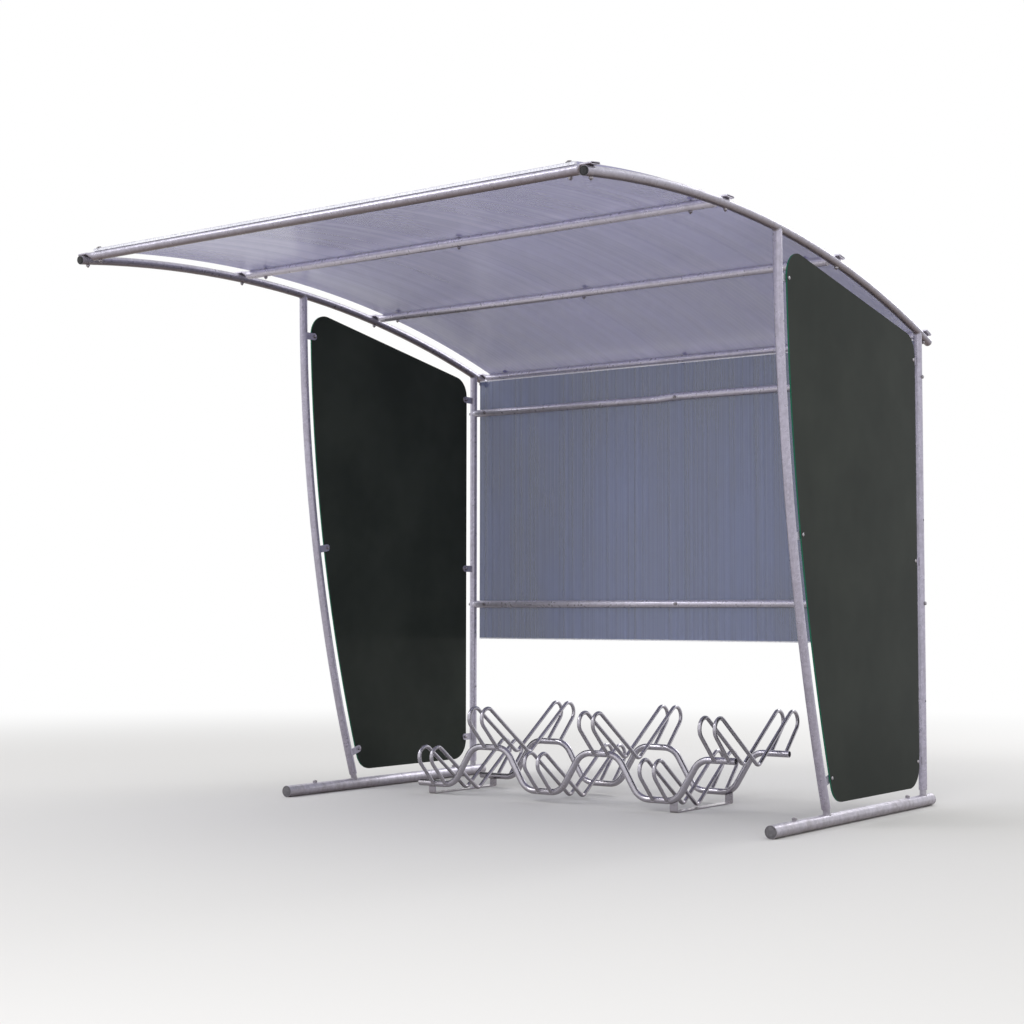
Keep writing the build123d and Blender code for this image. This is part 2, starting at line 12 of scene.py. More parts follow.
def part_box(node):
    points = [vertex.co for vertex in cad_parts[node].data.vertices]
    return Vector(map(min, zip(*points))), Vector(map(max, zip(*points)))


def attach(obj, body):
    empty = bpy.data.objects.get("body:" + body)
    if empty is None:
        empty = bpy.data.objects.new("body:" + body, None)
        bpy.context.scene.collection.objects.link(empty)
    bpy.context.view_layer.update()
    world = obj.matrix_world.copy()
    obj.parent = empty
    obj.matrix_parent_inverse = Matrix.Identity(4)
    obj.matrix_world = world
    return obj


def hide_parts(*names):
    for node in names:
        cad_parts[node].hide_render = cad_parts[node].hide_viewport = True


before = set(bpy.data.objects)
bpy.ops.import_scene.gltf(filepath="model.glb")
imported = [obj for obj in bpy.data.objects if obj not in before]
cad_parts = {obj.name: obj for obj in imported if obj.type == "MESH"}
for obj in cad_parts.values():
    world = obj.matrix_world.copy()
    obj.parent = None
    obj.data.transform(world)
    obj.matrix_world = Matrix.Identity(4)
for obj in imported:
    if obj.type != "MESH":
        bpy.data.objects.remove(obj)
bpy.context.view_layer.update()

LOG = logging.getLogger("bike_shelter")
MM = 0.001
SIDES = (("left", -1), ("right", 1))
STEEL_SLOT = "galvanised_steel"
WELD_SHARP = 60.0
Colour = tuple[float, float, float, float]
Range = tuple[float, float]
Size = tuple[float, float, float]
Profile = Sequence[tuple[float, float]]
Socket = bpy.types.NodeSocket
Tree = bpy.types.NodeTree


# Colours and shader nodes


def linear(hex_colour: str) -> Colour:
    """Turn an sRGB hex colour into linear light.

    Args:
        hex_colour: Colour such as "#b8b4c2".

    Returns:
        Linear red, green and blue with an alpha of 1.
    """
    parts = [int(hex_colour[i:i + 2], 16) / 255 for i in (1, 3, 5)]
    red, green, blue = (
        c / 12.92 if c <= 0.04045 else ((c + 0.055) / 1.055) ** 2.4 for c in parts
    )
    return red, green, blue, 1.0


def add(
    tree: Tree,
    kind: str,
    settings: dict | None = None,
    links: dict | None = None,
    stops: Iterable[tuple[float, Colour]] = (),
) -> bpy.types.Node:
    """Add one shader node with its settings and links.

    Args:
        tree: Node tree that takes the node.
        kind: Blender's name of the node type, without the ShaderNode at its front.
        settings: Values by name of a property or of an input socket, or by a socket's number.
        links: What feeds an input, by the input's name or number. A node stands for its first output.
        stops: Positions and colours of a colour ramp.

    Returns:
        The new node.
    """
    node = tree.nodes.new(f"ShaderNode{kind}")
    for key, value in (settings or {}).items():
        if isinstance(key, str) and hasattr(node, key):
            setattr(node, key, value)
        else:
            node.inputs[key].default_value = value
    for key, source in (links or {}).items():
        output = source.outputs[0] if isinstance(source, bpy.types.Node) else source
        tree.links.new(output, node.inputs[key])
    for index, (position, colour) in enumerate(stops):
        elements = node.color_ramp.elements
        element = elements[index] if index < len(elements) else elements.new(position)
        element.position, element.color = position, colour
    return node


def per_mm(size_mm: float) -> float:
    """Texture scale at which one feature spans a real size, for coordinates in metres."""
    return 1000.0 / size_mm


def grey(value: float) -> Colour:
    """Colour of a ramp that carries a plain number."""
    return value, value, value, 1.0


@dataclass(frozen=True)
class Finish:
    """A real surface, made into a material the first time that a piece asks for it."""

    name: str

    def material(self) -> bpy.types.Material:
        """The finish's material.

        Returns:
            The material, shared by all the pieces that have this finish.
        """
        made = bpy.data.materials.get(self.name)
        if made is None:
            made = bpy.data.materials.new(self.name)
            made.use_nodes = True
            tree = made.node_tree
            tree.nodes.clear()
            place = add(tree, "TexCoord").outputs["Object"]
            add(tree, "OutputMaterial", links={"Surface": self.surface(tree, place)})
        return made

    def surface(self, tree: Tree, place: Socket) -> bpy.types.Node:
        """Shader of the finish, which each kind of finish builds for itself."""
        raise NotImplementedError

    def noise(
        self, tree: Tree, place: Socket, size_mm: Size, detail: float = 3.0, rough: float = 0.55
    ) -> Socket:
        """Soft random pattern of a real size, which may differ by axis.

        Args:
            tree: Node tree of the material.
            place: Coordinates in metres.
            size_mm: Size of the pattern's patches along x, y and z.
            detail: Number of finer layers.
            rough: Strength of the finer layers.

        Returns:
            The pattern as a number around a half.
        """
        scale = tuple(per_mm(size) for size in size_mm)
        spread = add(tree, "VectorMath", {"operation": "MULTIPLY", 1: scale}, {0: place})
        pattern = add(
            tree, "TexNoise", {"Scale": 1.0, "Detail": detail, "Roughness": rough},
            {"Vector": spread},
        )
        return pattern.outputs["Fac"]


@dataclass(frozen=True)
class HotDipZinc(Finish):
    """Steel dipped in molten zinc: a bright bluish skin of frozen crystals, some lighter, some duller.

    The crystals give each tube its mottled look, runs of zinc and rain give upright streaks,
    the undersides carry painted shade, a brown tone that stands in for their shade and the
    ground's reflection, and dust dulls what is near the ground.
    """

    name: str = "hot_dip_zinc"
    light: str = "#c9c5d8"
    dark: str = "#b0adbf"
    weathered: str = "#97949d"
    # painted shade: the brown tone the undersides take, standing in for their shade and the ground's
    # reflection
    painted_shade_colour: str = "#5f504c"
    dust: str = "#9b8f86"
    crystal_mm: float = 10.0
    crystal_wander_mm: float = 6.0
    grain_mm: float = 1.6
    streak_mm: Size = (7.0, 7.0, 130.0)
    patch_mm: float = 90.0
    crystal_share: float = 0.55
    grain_share: float = 0.5
    shade_range: Range = (0.15, 0.85)
    wear_range: Range = (0.24, 0.42)
    weathering: float = 0.4
    # painted shade on the undersides: how far up a surface faces where it starts, and where it is full
    painted_shade_facing: Range = (0.25, -0.85)
    painted_shade_share: float = 0.85
    dust_height_mm: float = 120.0
    dust_share: float = 0.5
    metallic: float = 0.6
    smooth: float = 0.26
    rough: float = 0.42
    crystal_gloss: float = 0.12
    bump: float = 0.4
    bump_mm: float = 0.02

    def surface(self, tree: Tree, place: Socket) -> bpy.types.Node:
        """Shader of the zinc skin.

        Args:
            tree: Node tree of the material.
            place: Coordinates in metres.

        Returns:
            The shader.
        """
        wander = self.noise(tree, place, (self.crystal_mm / 2,) * 3, detail=2.0)
        shifted = add(
            tree, "MixRGB", {"blend_type": "LINEAR_LIGHT", "Fac": self.crystal_wander_mm * MM},
            {"Color1": place, "Color2": wander},
        )
        crystals = add(tree, "TexVoronoi", {"Scale": per_mm(self.crystal_mm)}, {"Vector": shifted})
        shade = add(tree, "SeparateColor", links={0: crystals.outputs["Color"]})
        grain = self.noise(tree, place, (self.grain_mm,) * 3)
        streaks = self.noise(tree, place, self.streak_mm, detail=4.0, rough=0.6)
        patches = self.noise(tree, place, (self.patch_mm,) * 3, detail=4.0, rough=0.6)
        speckle = add(tree, "Math", {"operation": "MULTIPLY", 1: self.grain_share}, {0: grain})
        mottle = add(
            tree, "Math", {"operation": "MULTIPLY_ADD", 1: self.crystal_share},
            {0: shade, 2: speckle},
        )
        zinc = add(
            tree, "ValToRGB", links={0: mottle},
            stops=zip(self.shade_range, (linear(self.dark), linear(self.light))),
        )
        wash = add(tree, "Math", {"operation": "MULTIPLY"}, {0: streaks, 1: patches})
        worn = add(
            tree, "ValToRGB", links={0: wash},
            stops=zip(self.wear_range, (grey(0.0), grey(self.weathering))),
        )
        aged = add(
            tree, "MixRGB", {"Color2": linear(self.weathered)}, {"Fac": worn, "Color1": zinc}
        )
        height = add(tree, "SeparateXYZ", links={0: place})
        low = add(
            tree, "MapRange",
            {"From Min": self.dust_height_mm * MM, "From Max": 0.0, "To Max": self.dust_share},
            {"Value": height.outputs["Z"]},
        )
        dusty = add(tree, "Math", {"operation": "MULTIPLY"}, {0: low, 1: patches})
        dulled = add(tree, "MixRGB", {"Color2": linear(self.dust)}, {"Fac": dusty, "Color1": aged})
        # painted shade: surfaces that face down are mixed toward a dark brown, whatever light reaches
        # them
        normal = add(tree, "NewGeometry").outputs["Normal"]
        facing = add(tree, "SeparateXYZ", links={0: normal})
        painted_shade_share = add(
            tree, "MapRange",
            {"From Min": self.painted_shade_facing[0], "From Max": self.painted_shade_facing[1], "To Max": self.painted_shade_share},
            {"Value": facing.outputs["Z"]},
        )
        colour = add(
            tree, "MixRGB", {"Color2": linear(self.painted_shade_colour)}, {"Fac": painted_shade_share, "Color1": dulled}
        )
        gloss = add(tree, "MapRange", {"To Min": self.smooth, "To Max": self.rough}, {"Value": worn})
        matt = add(
            tree, "Math", {"operation": "MULTIPLY_ADD", 1: self.crystal_gloss},
            {0: shade.outputs[1], 2: gloss},
        )
        bump = add(
            tree, "Bump", {"Strength": self.bump, "Distance": self.bump_mm * MM}, {"Height": grain}
        )
        return add(
            tree, "BsdfPrincipled", {"Metallic": self.metallic},
            {"Base Color": colour, "Roughness": matt, "Normal": bump},
        )


@dataclass(frozen=True)
class PanelLaminate(Finish):
    """Compact laminate pressed from dark green paper and resin: hard, smooth and softly glossy.

    The sawn and polished edges show a thin line of brighter green, and the faces carry a
    breath of dust and rain marks that only show in the gloss.
    """

    name: str = "compact_laminate"
    face: str = "#2c302d"
    shade: str = "#353935"
    edge: str = "#2a6650"
    rain_mm: Size = (30.0, 30.0, 260.0)
    rain_range: Range = (0.35, 0.7)
    cloud_mm: float = 420.0
    cloud_range: Range = (0.35, 0.65)
    roughness_low: float = 0.1
    roughness_high: float = 0.24
    ior: float = 1.45
    gloss: float = 0.04

    def surface(self, tree: Tree, place: Socket) -> bpy.types.Node:
        """Shader of the laminate.

        Args:
            tree: Node tree of the material.
            place: Coordinates in metres.

        Returns:
            The shader.
        """
        clouds = self.noise(tree, place, (self.cloud_mm,) * 3)
        rain = self.noise(tree, place, self.rain_mm, detail=5.0, rough=0.65)
        face = add(
            tree, "ValToRGB", links={0: clouds},
            stops=zip(self.cloud_range, (linear(self.face), linear(self.shade))),
        )
        normal = add(tree, "NewGeometry").outputs["True Normal"]
        facing = add(tree, "SeparateXYZ", links={0: normal})
        sideways = add(tree, "Math", {"operation": "ABSOLUTE"}, {0: facing})
        rim = add(tree, "Math", {"operation": "LESS_THAN", 1: 0.5}, {0: sideways})
        colour = add(tree, "MixRGB", {"Color2": linear(self.edge)}, {"Fac": rim, "Color1": face})
        roughness = add(
            tree, "MapRange",
            {"From Min": self.rain_range[0], "From Max": self.rain_range[1],
             "To Min": self.roughness_low, "To Max": self.roughness_high},
            {"Value": rain},
        )
        return add(
            tree, "BsdfPrincipled", {"IOR": self.ior, "Specular IOR Level": self.gloss},
            {"Base Color": colour, "Roughness": roughness},
        )


@dataclass(frozen=True)
class TwinWallSheet(Finish):
    """Extruded twin-wall polycarbonate: two thin tinted skins joined by upright webs.

    The webs show as fine lines, the drawn-out flutes give long soft streaks, and dust and
    age make the sheet hazy in patches, so that it is half seen through. The webs stand 11 mm
    apart, too close to tell apart, so their lines are drawn at every second one.
    """

    name: str = "twin_wall_sheet"
    clear: str = "#8c88b4"
    hazy: str = "#b0add2"
    web: str = "#bab7d8"
    line_pitch_mm: float = 22.0
    line_mm: float = 4.0
    line_bump: float = 0.1
    line_bump_mm: float = 0.15
    streak_mm: Size = (60.0, 5200.0, 5200.0)
    cloud_mm: Size = (420.0, 900.0, 900.0)
    haze_range: Range = (0.16, 0.36)
    alpha_low: float = 0.62
    alpha_high: float = 0.7
    web_strength: float = 0.22
    web_alpha: float = 0.05
    ior: float = 1.58
    gloss: float = 0.2
    roughness: float = 0.26

    def surface(self, tree: Tree, place: Socket) -> bpy.types.Node:
        """Shader of one skin of the sheet.

        Args:
            tree: Node tree of the material.
            place: Coordinates in metres.

        Returns:
            The shader.
        """
        along = add(tree, "SeparateXYZ", links={0: place})
        cells = add(
            tree, "Math", {"operation": "MULTIPLY", 1: per_mm(self.line_pitch_mm)}, {0: along}
        )
        nearest = add(tree, "Math", {"operation": "PINGPONG", 1: 0.5}, {0: cells})
        web = add(
            tree, "MapRange",
            {"From Min": self.line_mm / self.line_pitch_mm, "From Max": 0.0,
             "To Max": self.web_strength},
            {"Value": nearest},
        )
        streaks = self.noise(tree, place, self.streak_mm, rough=0.5)
        clouds = self.noise(tree, place, self.cloud_mm, rough=0.5)
        haze = add(tree, "Math", {"operation": "MULTIPLY"}, {0: streaks, 1: clouds})
        milk = add(
            tree, "MapRange", {"From Min": self.haze_range[0], "From Max": self.haze_range[1]},
            {"Value": haze},
        )
        tint = add(
            tree, "MixRGB", {"Color1": linear(self.clear), "Color2": linear(self.hazy)},
            {"Fac": milk},
        )
        colour = add(tree, "MixRGB", {"Color2": linear(self.web)}, {"Fac": web, "Color1": tint})
        skin = add(
            tree, "MapRange", {"To Min": self.alpha_low, "To Max": self.alpha_high}, {"Value": milk}
        )
        alpha = add(
            tree, "Math", {"operation": "MULTIPLY_ADD", 1: self.web_alpha, "use_clamp": True},
            {0: web, 2: skin},
        )
        bump = add(
            tree, "Bump", {"Strength": self.line_bump, "Distance": self.line_bump_mm * MM},
            {"Height": nearest},
        )
        return add(
            tree, "BsdfPrincipled",
            {"IOR": self.ior, "Specular IOR Level": self.gloss, "Roughness": self.roughness},
            {"Base Color": colour, "Alpha": alpha, "Normal": bump},
        )


@dataclass(frozen=True)
class MouldedPlastic(Finish):
    """Injection-moulded polythene: a soft even sheen with a fine matt grain, scuffed paler by use."""

    name: str
    colour: str
    scuffed: str
    grain_mm: float = 0.9
    scuff_mm: float = 7.0
    scuff_range: Range = (0.45, 0.75)
    roughness_low: float = 0.3
    roughness_high: float = 0.55
    ior: float = 1.5
    bump: float = 0.4
    bump_mm: float = 0.05

    def surface(self, tree: Tree, place: Socket) -> bpy.types.Node:
        """Shader of the moulded skin.

        Args:
            tree: Node tree of the material.
            place: Coordinates in metres.

        Returns:
            The shader.
        """
        grain = self.noise(tree, place, (self.grain_mm,) * 3, detail=2.0)
        scuffs = self.noise(tree, place, (self.scuff_mm,) * 3, detail=5.0, rough=0.7)
        colour = add(
            tree, "ValToRGB", links={0: scuffs},
            stops=zip(self.scuff_range, (linear(self.colour), linear(self.scuffed))),
        )
        roughness = add(
            tree, "MapRange", {"To Min": self.roughness_low, "To Max": self.roughness_high},
            {"Value": scuffs},
        )
        bump = add(
            tree, "Bump", {"Strength": self.bump, "Distance": self.bump_mm * MM}, {"Height": grain}
        )
        return add(
            tree, "BsdfPrincipled", {"IOR": self.ior},
            {"Base Color": colour, "Roughness": roughness, "Normal": bump},
        )


# Finishes of this shelter

# posts: bright bluish zinc with clear crystals and long upright runs
FRAME_ZINC = HotDipZinc()
# rafters and front rail: painted shade, a darker copy of the zinc that stands in for the shade they
# sit in, with deeper painted shade underneath
SHADED_RAFTER_ZINC = HotDipZinc(
    name="shaded_hot_dip_zinc", light="#bbb8c7", dark="#a19eac", painted_shade_colour="#594945", painted_shade_share=0.9,
    streak_mm=(45.0, 45.0, 60.0),
)
# rails under the roof and at the back: painted light, the palest zinc, lighter than the rest to stand
# in for the light that reaches them through the sheets
LIT_RAIL_ZINC = HotDipZinc(
    name="lit_hot_dip_zinc", light="#dedaea", dark="#cac7d6", weathered="#aeaab4",
    painted_shade_colour="#857a78", painted_shade_share=0.6, streak_mm=(45.0, 45.0, 60.0),
)
# base tubes: coarse crystals, worn matt in patches and dusty near the ground
BASE_ZINC = HotDipZinc(
    name="weathered_hot_dip_zinc", light="#cbc8d6", dark="#aaa8b6", crystal_mm=14.0,
    streak_mm=(25.0, 25.0, 60.0), weathering=0.6, painted_shade_share=0.6, smooth=0.3, rough=0.5,
)
# rack: a thin smooth skin with small crystals, which mirrors softly
RACK_ZINC = HotDipZinc(
    name="smooth_hot_dip_zinc", light="#c6c3cd", dark="#b6b3be", weathered="#a39d9b",
    painted_shade_colour="#635c5b", crystal_mm=4.0, grain_mm=0.8, weathering=0.4, painted_shade_share=0.6, metallic=0.85,
    smooth=0.14, rough=0.26, bump_mm=0.004,
)
# weld beads: rough dull zinc over rippled metal
WELD_ZINC = HotDipZinc(
    name="galvanised_weld_bead", light="#b9b7c2", dark="#98969f", crystal_mm=3.0, grain_mm=0.6,
    smooth=0.34, rough=0.55, bump_mm=0.08,
)
# bolts, nuts and washers: a thin even plating, grey and shiny
FIXING_ZINC = HotDipZinc(
    name="zinc_plated_steel", light="#bfbdc7", dark="#a5a3ad", weathered="#95918f", crystal_mm=2.0,
    grain_mm=0.5, weathering=0.35, metallic=0.92, smooth=0.2, rough=0.38, bump_mm=0.005,
)
# side panels: so dark that the green only shows at the edges
LAMINATE = PanelLaminate()
# roof: a lilac tint with long soft streaks, half seen through
ROOF_SHEET = TwinWallSheet(name="lilac_twin_wall_sheet")
# back: a darker smoky blue with closer upright streaks
BACK_SHEET = TwinWallSheet(
    name="smoky_blue_twin_wall_sheet", clear="#505a7d", hazy="#727b9f", web="#868dac",
    streak_mm=(20.0, 1500.0, 5200.0), cloud_mm=(420.0, 900.0, 700.0), web_strength=0.3,
    alpha_low=0.68, alpha_high=0.76,
)
# sheet ends: whitish and hardly clear, partly from the saw and partly painted light, so that their
# open cells and the skins beside them don't show dark
SAWN_AND_LIT_SHEET = TwinWallSheet(
    name="sawn_and_lit_twin_wall_edge", clear="#dcdce6", hazy="#f2f2f6", web="#f2f2f6",
    streak_mm=(9.0, 9.0, 9.0), alpha_low=0.86, alpha_high=0.95, roughness=0.5,
)
# base caps: dark grey, bleached and scuffed near the ground
BASE_CAP_PLASTIC = MouldedPlastic("weathered_dark_grey_polythene", "#565458", "#77747a")
# rafter caps: black and smoother, out of reach of boots
RAFTER_CAP_PLASTIC = MouldedPlastic(
    "black_polythene", "#101012", "#26262a", roughness_low=0.18, roughness_high=0.35
)
# sealing washers: dull black rubber
SEAL_RUBBER = MouldedPlastic(
    "moulded_seal_rubber", "#1c1c1d", "#343434", roughness_low=0.55, roughness_high=0.75
)


# Meshes


def turned_to(direction: Vector) -> Matrix:
    """Rotation that carries +Z to a direction."""
    return direction.to_track_quat("Z", "Y").to_matrix().to_4x4()


class Piece:
    """One named piece of the shelter, gathered as a mesh and then put into the scene."""

    made: ClassVar[int] = 0

    def __init__(self, name: str) -> None:
        """Start an empty piece.

        Args:
            name: The piece's plain name.
        """
        self.name = name
        self.mesh = bmesh.new()
        self.finishes: list[Finish] = []

    def index(self, finish: Finish) -> int:
        """Number of the material slot that holds a finish, which is added if it is new.

        Args:
            finish: The finish.

        Returns:
            The slot's number.
        """
        if finish not in self.finishes:
            self.finishes.append(finish)
        return self.finishes.index(finish)

    def face(self, corners: Sequence[bmesh.types.BMVert], index: int) -> None:
        """Add one face with a material."""
        self.mesh.faces.new(corners).material_index = index

    def turned(self, profile: Profile, at: Matrix, finish: Finish, steps: int = 32) -> None:
        """Add a body turned about its own Z.

        Args:
            profile: Radius and height in metres, from one end of the axis to the other.
            at: Place of the body.
            finish: Finish of the body.
            steps: Number of sides round the axis.
        """
        index = self.index(finish)
        rings = []
        for radius, height in profile:
            if radius < 1e-9:
                rings.append([self.mesh.verts.new(at @ Vector((0, 0, height)))])
                continue
            rings.append([
                self.mesh.verts.new(at @ Vector((
                    radius * math.cos(math.tau * i / steps),
                    radius * math.sin(math.tau * i / steps), height)))
                for i in range(steps)
            ])
        for low, high in zip(rings, rings[1:]):
            for i in range(steps):
                j = (i + 1) % steps
                lower = [low[i], low[j]] if len(low) > 1 else low
                upper = [high[j], high[i]] if len(high) > 1 else high
                if len(lower) + len(upper) > 2:
                    self.face([*lower, *upper], index)

    def hexagon(
        self, width: float, low: float, high: float, at: Matrix, finish: Finish,
        both_ends: bool = False,
    ) -> None:
        """Add a hexagon head or nut whose corners are chamfered as on a turned bar.

        Args:
            width: Width across the flats in metres.
            low: Height of its lower face.
            high: Height of its upper face.
            at: Place of the body.
            finish: Finish of the body.
            both_ends: Whether the lower end is chamfered too, as on a nut.
        """
        index = self.index(finish)
        steps, flat = 36, width / 2
        crown, slope = 0.95 * flat, math.tan(math.radians(30))

        def ring(height: float, sign: int, corners: bool) -> list[bmesh.types.BMVert]:
            """One ring of points, on the hexagon or on the chamfer's circle.

            Args:
                height: Height of the end face that the ring belongs to.
                sign: 1 above the body's middle, -1 below it and 0 for no chamfer.
                corners: Whether the ring follows the hexagon.

            Returns:
                The ring's points.
            """
            verts = []
            for i in range(steps):
                angle = math.tau * i / steps
                reach = flat / math.cos((angle + math.pi / 6) % (math.pi / 3) - math.pi / 6)
                radius = reach if corners else crown
                drop = sign * (reach - crown) * slope
                verts.append(self.mesh.verts.new(at @ Vector((
                    radius * math.cos(angle), radius * math.sin(angle), height - drop))))
            return verts

        rings = [ring(low, 0, True)] if not both_ends else [ring(low, 0, False), ring(low, -1, True)]
        rings += [ring(high, 1, True), ring(high, 0, False)]
        self.face(rings[0][::-1], index)
        for lower, upper in zip(rings, rings[1:]):
            for i in range(steps):
                j = (i + 1) % steps
                self.face((lower[i], lower[j], upper[j], upper[i]), index)
        self.face(rings[-1], index)

    def bead(
        self, line: Sequence[Vector], radius: float, hub: Vector, closed: bool, finish: Finish
    ) -> None:
        """Add a weld bead with the ripples that each drop of metal leaves.

        Args:
            line: Points along the joint.
            radius: Radius of the bead in metres.
            hub: A point beside the line, from which the bead's sections are turned.
            closed: Whether the bead runs right round.
            finish: Finish of the bead.
        """
        index = self.index(finish)
        ripple, dip, sides = 2.6 * MM, 0.16, 8
        swell, swell_turns, tip = 0.08, 17.0, 0.08
        points = list(line) + ([line[0]] if closed else [])
        lengths = [0.0]
        for a, b in zip(points, points[1:]):
            lengths.append(lengths[-1] + (b - a).length)
        count = max(6, round(lengths[-1] / (ripple / 3)))
        rings = []
        for step in range(count if closed else count + 1):
            s = lengths[-1] * step / count
            k = max(i for i, length in enumerate(lengths[:-1]) if length <= s + 1e-12)
            t = (s - lengths[k]) / (lengths[k + 1] - lengths[k])
            centre = points[k].lerp(points[k + 1], t)
            along = (points[k + 1] - points[k]).normalized()
            out = centre - hub
            out = (out - out.dot(along) * along).normalized()
            side = along.cross(out)
            size = radius * (1 - dip + dip * abs(math.sin(math.pi * s / ripple)))
            size *= 1 + swell * math.sin(swell_turns * s / radius)
            if not closed:
                size *= math.sqrt(max(tip, min(1.0, s / radius, (lengths[-1] - s) / radius)))
            rings.append([
                self.mesh.verts.new(
                    centre + size * (math.cos(math.tau * i / sides) * out
                                     + math.sin(math.tau * i / sides) * side))
                for i in range(sides)
            ])
        pairs = list(zip(rings, rings[1:])) + ([(rings[-1], rings[0])] if closed else [])
        for low, high in pairs:
            for i in range(sides):
                j = (i + 1) % sides
                self.face((low[i], low[j], high[j], high[i]), index)
        if not closed:
            self.face(rings[0][::-1], index)
            self.face(rings[-1], index)

    def into_scene(self, slot: str, replaces: str = "", sharp: float = 32.0) -> bpy.types.Object:
        """Finish the mesh and put it into the scene.

        Args:
            slot: The record's material slot that the piece belongs to.
            replaces: The CAD node that the piece stands for, if any.
            sharp: Angle in degrees above which an edge stays sharp.

        Returns:
            The new object.
        """
        bmesh.ops.recalc_face_normals(self.mesh, faces=self.mesh.faces)
        for face in self.mesh.faces:
            face.smooth = True
        for edge in self.mesh.edges:
            edge.smooth = edge.calc_face_angle(math.pi) < math.radians(sharp)
        data = bpy.data.meshes.new(self.name)
        self.mesh.to_mesh(data)
        self.mesh.free()
        for finish in self.finishes:
            data.materials.append(finish.material())
        return show(bpy.data.objects.new(self.name, data), slot, replaces)


def show(obj: bpy.types.Object, slot: str, replaces: str = "") -> bpy.types.Object:
    """Put an object of the shelter into the scene, on its body.

    Args:
        obj: The object.
        slot: The record's material slot, which is not used.
        replaces: The CAD node that it stands for, if any.

    Returns:
        The same object.
    """
    bpy.context.scene.collection.objects.link(obj)
    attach(obj, "root")
    if replaces:
        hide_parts(replaces)
    Piece.made += 1
    LOG.info("piece %s, %d faces", obj.name, len(obj.data.polygons))
    return obj


def dress(finish: Finish, *names: str) -> None:
    """Give CAD nodes a finish.

    Args:
        finish: The finish.
        names: Names of the nodes.
    """
    for name in names:
        for material_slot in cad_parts[name].material_slots:
            material_slot.material = finish.material()
        LOG.info("node %s dressed in %s", name, finish.name)


# Lines of the frames


@dataclass(frozen=True)
class FrameLines:
    """Centre lines of the two side frames in millimetres, y counted from the rear posts.

    The sub-assemblies below give their sizes in the same way, except for the fixings.
    """

    spacing: float = 2300.0
    tube: float = 33.7
    base: float = 48.3
    spigot: float = 26.9
    post_lift: float = 20.0
    rafter_radius: float = 5630.0
    crest_height: float = 2167.0
    crest_reach: float = 1613.0
    post_radius: float = 6737.0
    post_reach: float = 1204.0
    post_upright: float = 2184.0

    def at(self, x: float, y: float, z: float) -> Vector:
        """Point in the row's frame, in metres."""
        rear_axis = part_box("rear_post_left")[1][1] - self.tube / 2 * MM
        return Vector((x * MM, y * MM + rear_axis, z * MM))

    def rafter_height(self, y: float, above: float = 0.0) -> float:
        """Height of a line that runs evenly above the rafters' axis."""
        radius = self.rafter_radius + above
        return (self.crest_height - self.rafter_radius
                + math.sqrt(radius ** 2 - (y + self.crest_reach) ** 2))

    def rafter_up(self, y: float) -> Vector:
        """Direction square to the rafters at a place, pointing away from the ground."""
        lean = math.asin((y + self.crest_reach) / self.rafter_radius)
        return Vector((0.0, math.sin(lean), math.cos(lean)))

    def over_rafter(self, x: float, y: float, above: float) -> Vector:
        """Point at a height square above the rafters' axis."""
        foot = self.at(x, y, self.rafter_height(y))
        return foot + self.rafter_up(y) * above * MM

    def post_y(self, z: float) -> float:
        """Place of the front posts' axis at a height."""
        centre = self.post_radius - self.post_reach
        return centre - math.sqrt(self.post_radius ** 2 - (self.post_upright - z) ** 2)

    def post_lean(self, z: float) -> float:
        """Angle in radians by which the front posts lean forward of upright at a height."""
        return math.asin((self.post_upright - z) / self.post_radius)

    def post_up(self, z: float) -> Vector:
        """Direction of the front posts at a height."""
        lean = self.post_lean(z)
        return Vector((0.0, -math.sin(lean), math.cos(lean)))


LINES = FrameLines()


def joint_ring(
    start: Vector, up: Vector, radius: float, host: Vector, along: Vector, host_radius: float,
    far_side: bool,
) -> list[Vector]:
    """Closed line where a round tube meets the skin of another.

    Args:
        start: A point on the axis of the tube that ends at the joint.
        up: Direction of that tube.
        radius: Radius of that tube.
        host: A point on the axis of the tube that it meets.
        along: Direction of the tube that it meets.
        host_radius: Radius of the tube that it meets.
        far_side: Whether the tube leaves the other on its far side.

    Returns:
        Points along the joint.
    """
    side = along.cross(up).normalized()
    fore = up.cross(side).normalized()
    across = up - up.dot(along) * along
    points = []
    for i in range(72):
        angle = math.tau * i / 72
        foot = start + radius * (math.cos(angle) * side + math.sin(angle) * fore)
        away = foot - host
        away -= away.dot(along) * along
        a, b = across.dot(across), 2 * away.dot(across)
        c = away.dot(away) - host_radius ** 2
        root = math.sqrt(max(0.0, b * b - 4 * a * c))
        points.append(foot + up * ((-b + (root if far_side else -root)) / (2 * a)))
    return points


# Fixings


class Fixing(Enum):
    """Kinds of fixing that hold the shelter together."""

    HEAD = "hexagon head on a washer"
    NUT = "nut with the bolt's end"
    DOME = "dome head"
    CROWN = "low round head"
    SEALED = "hexagon head on a sealing washer"
    ANCHOR = "anchor stud with a low nut"


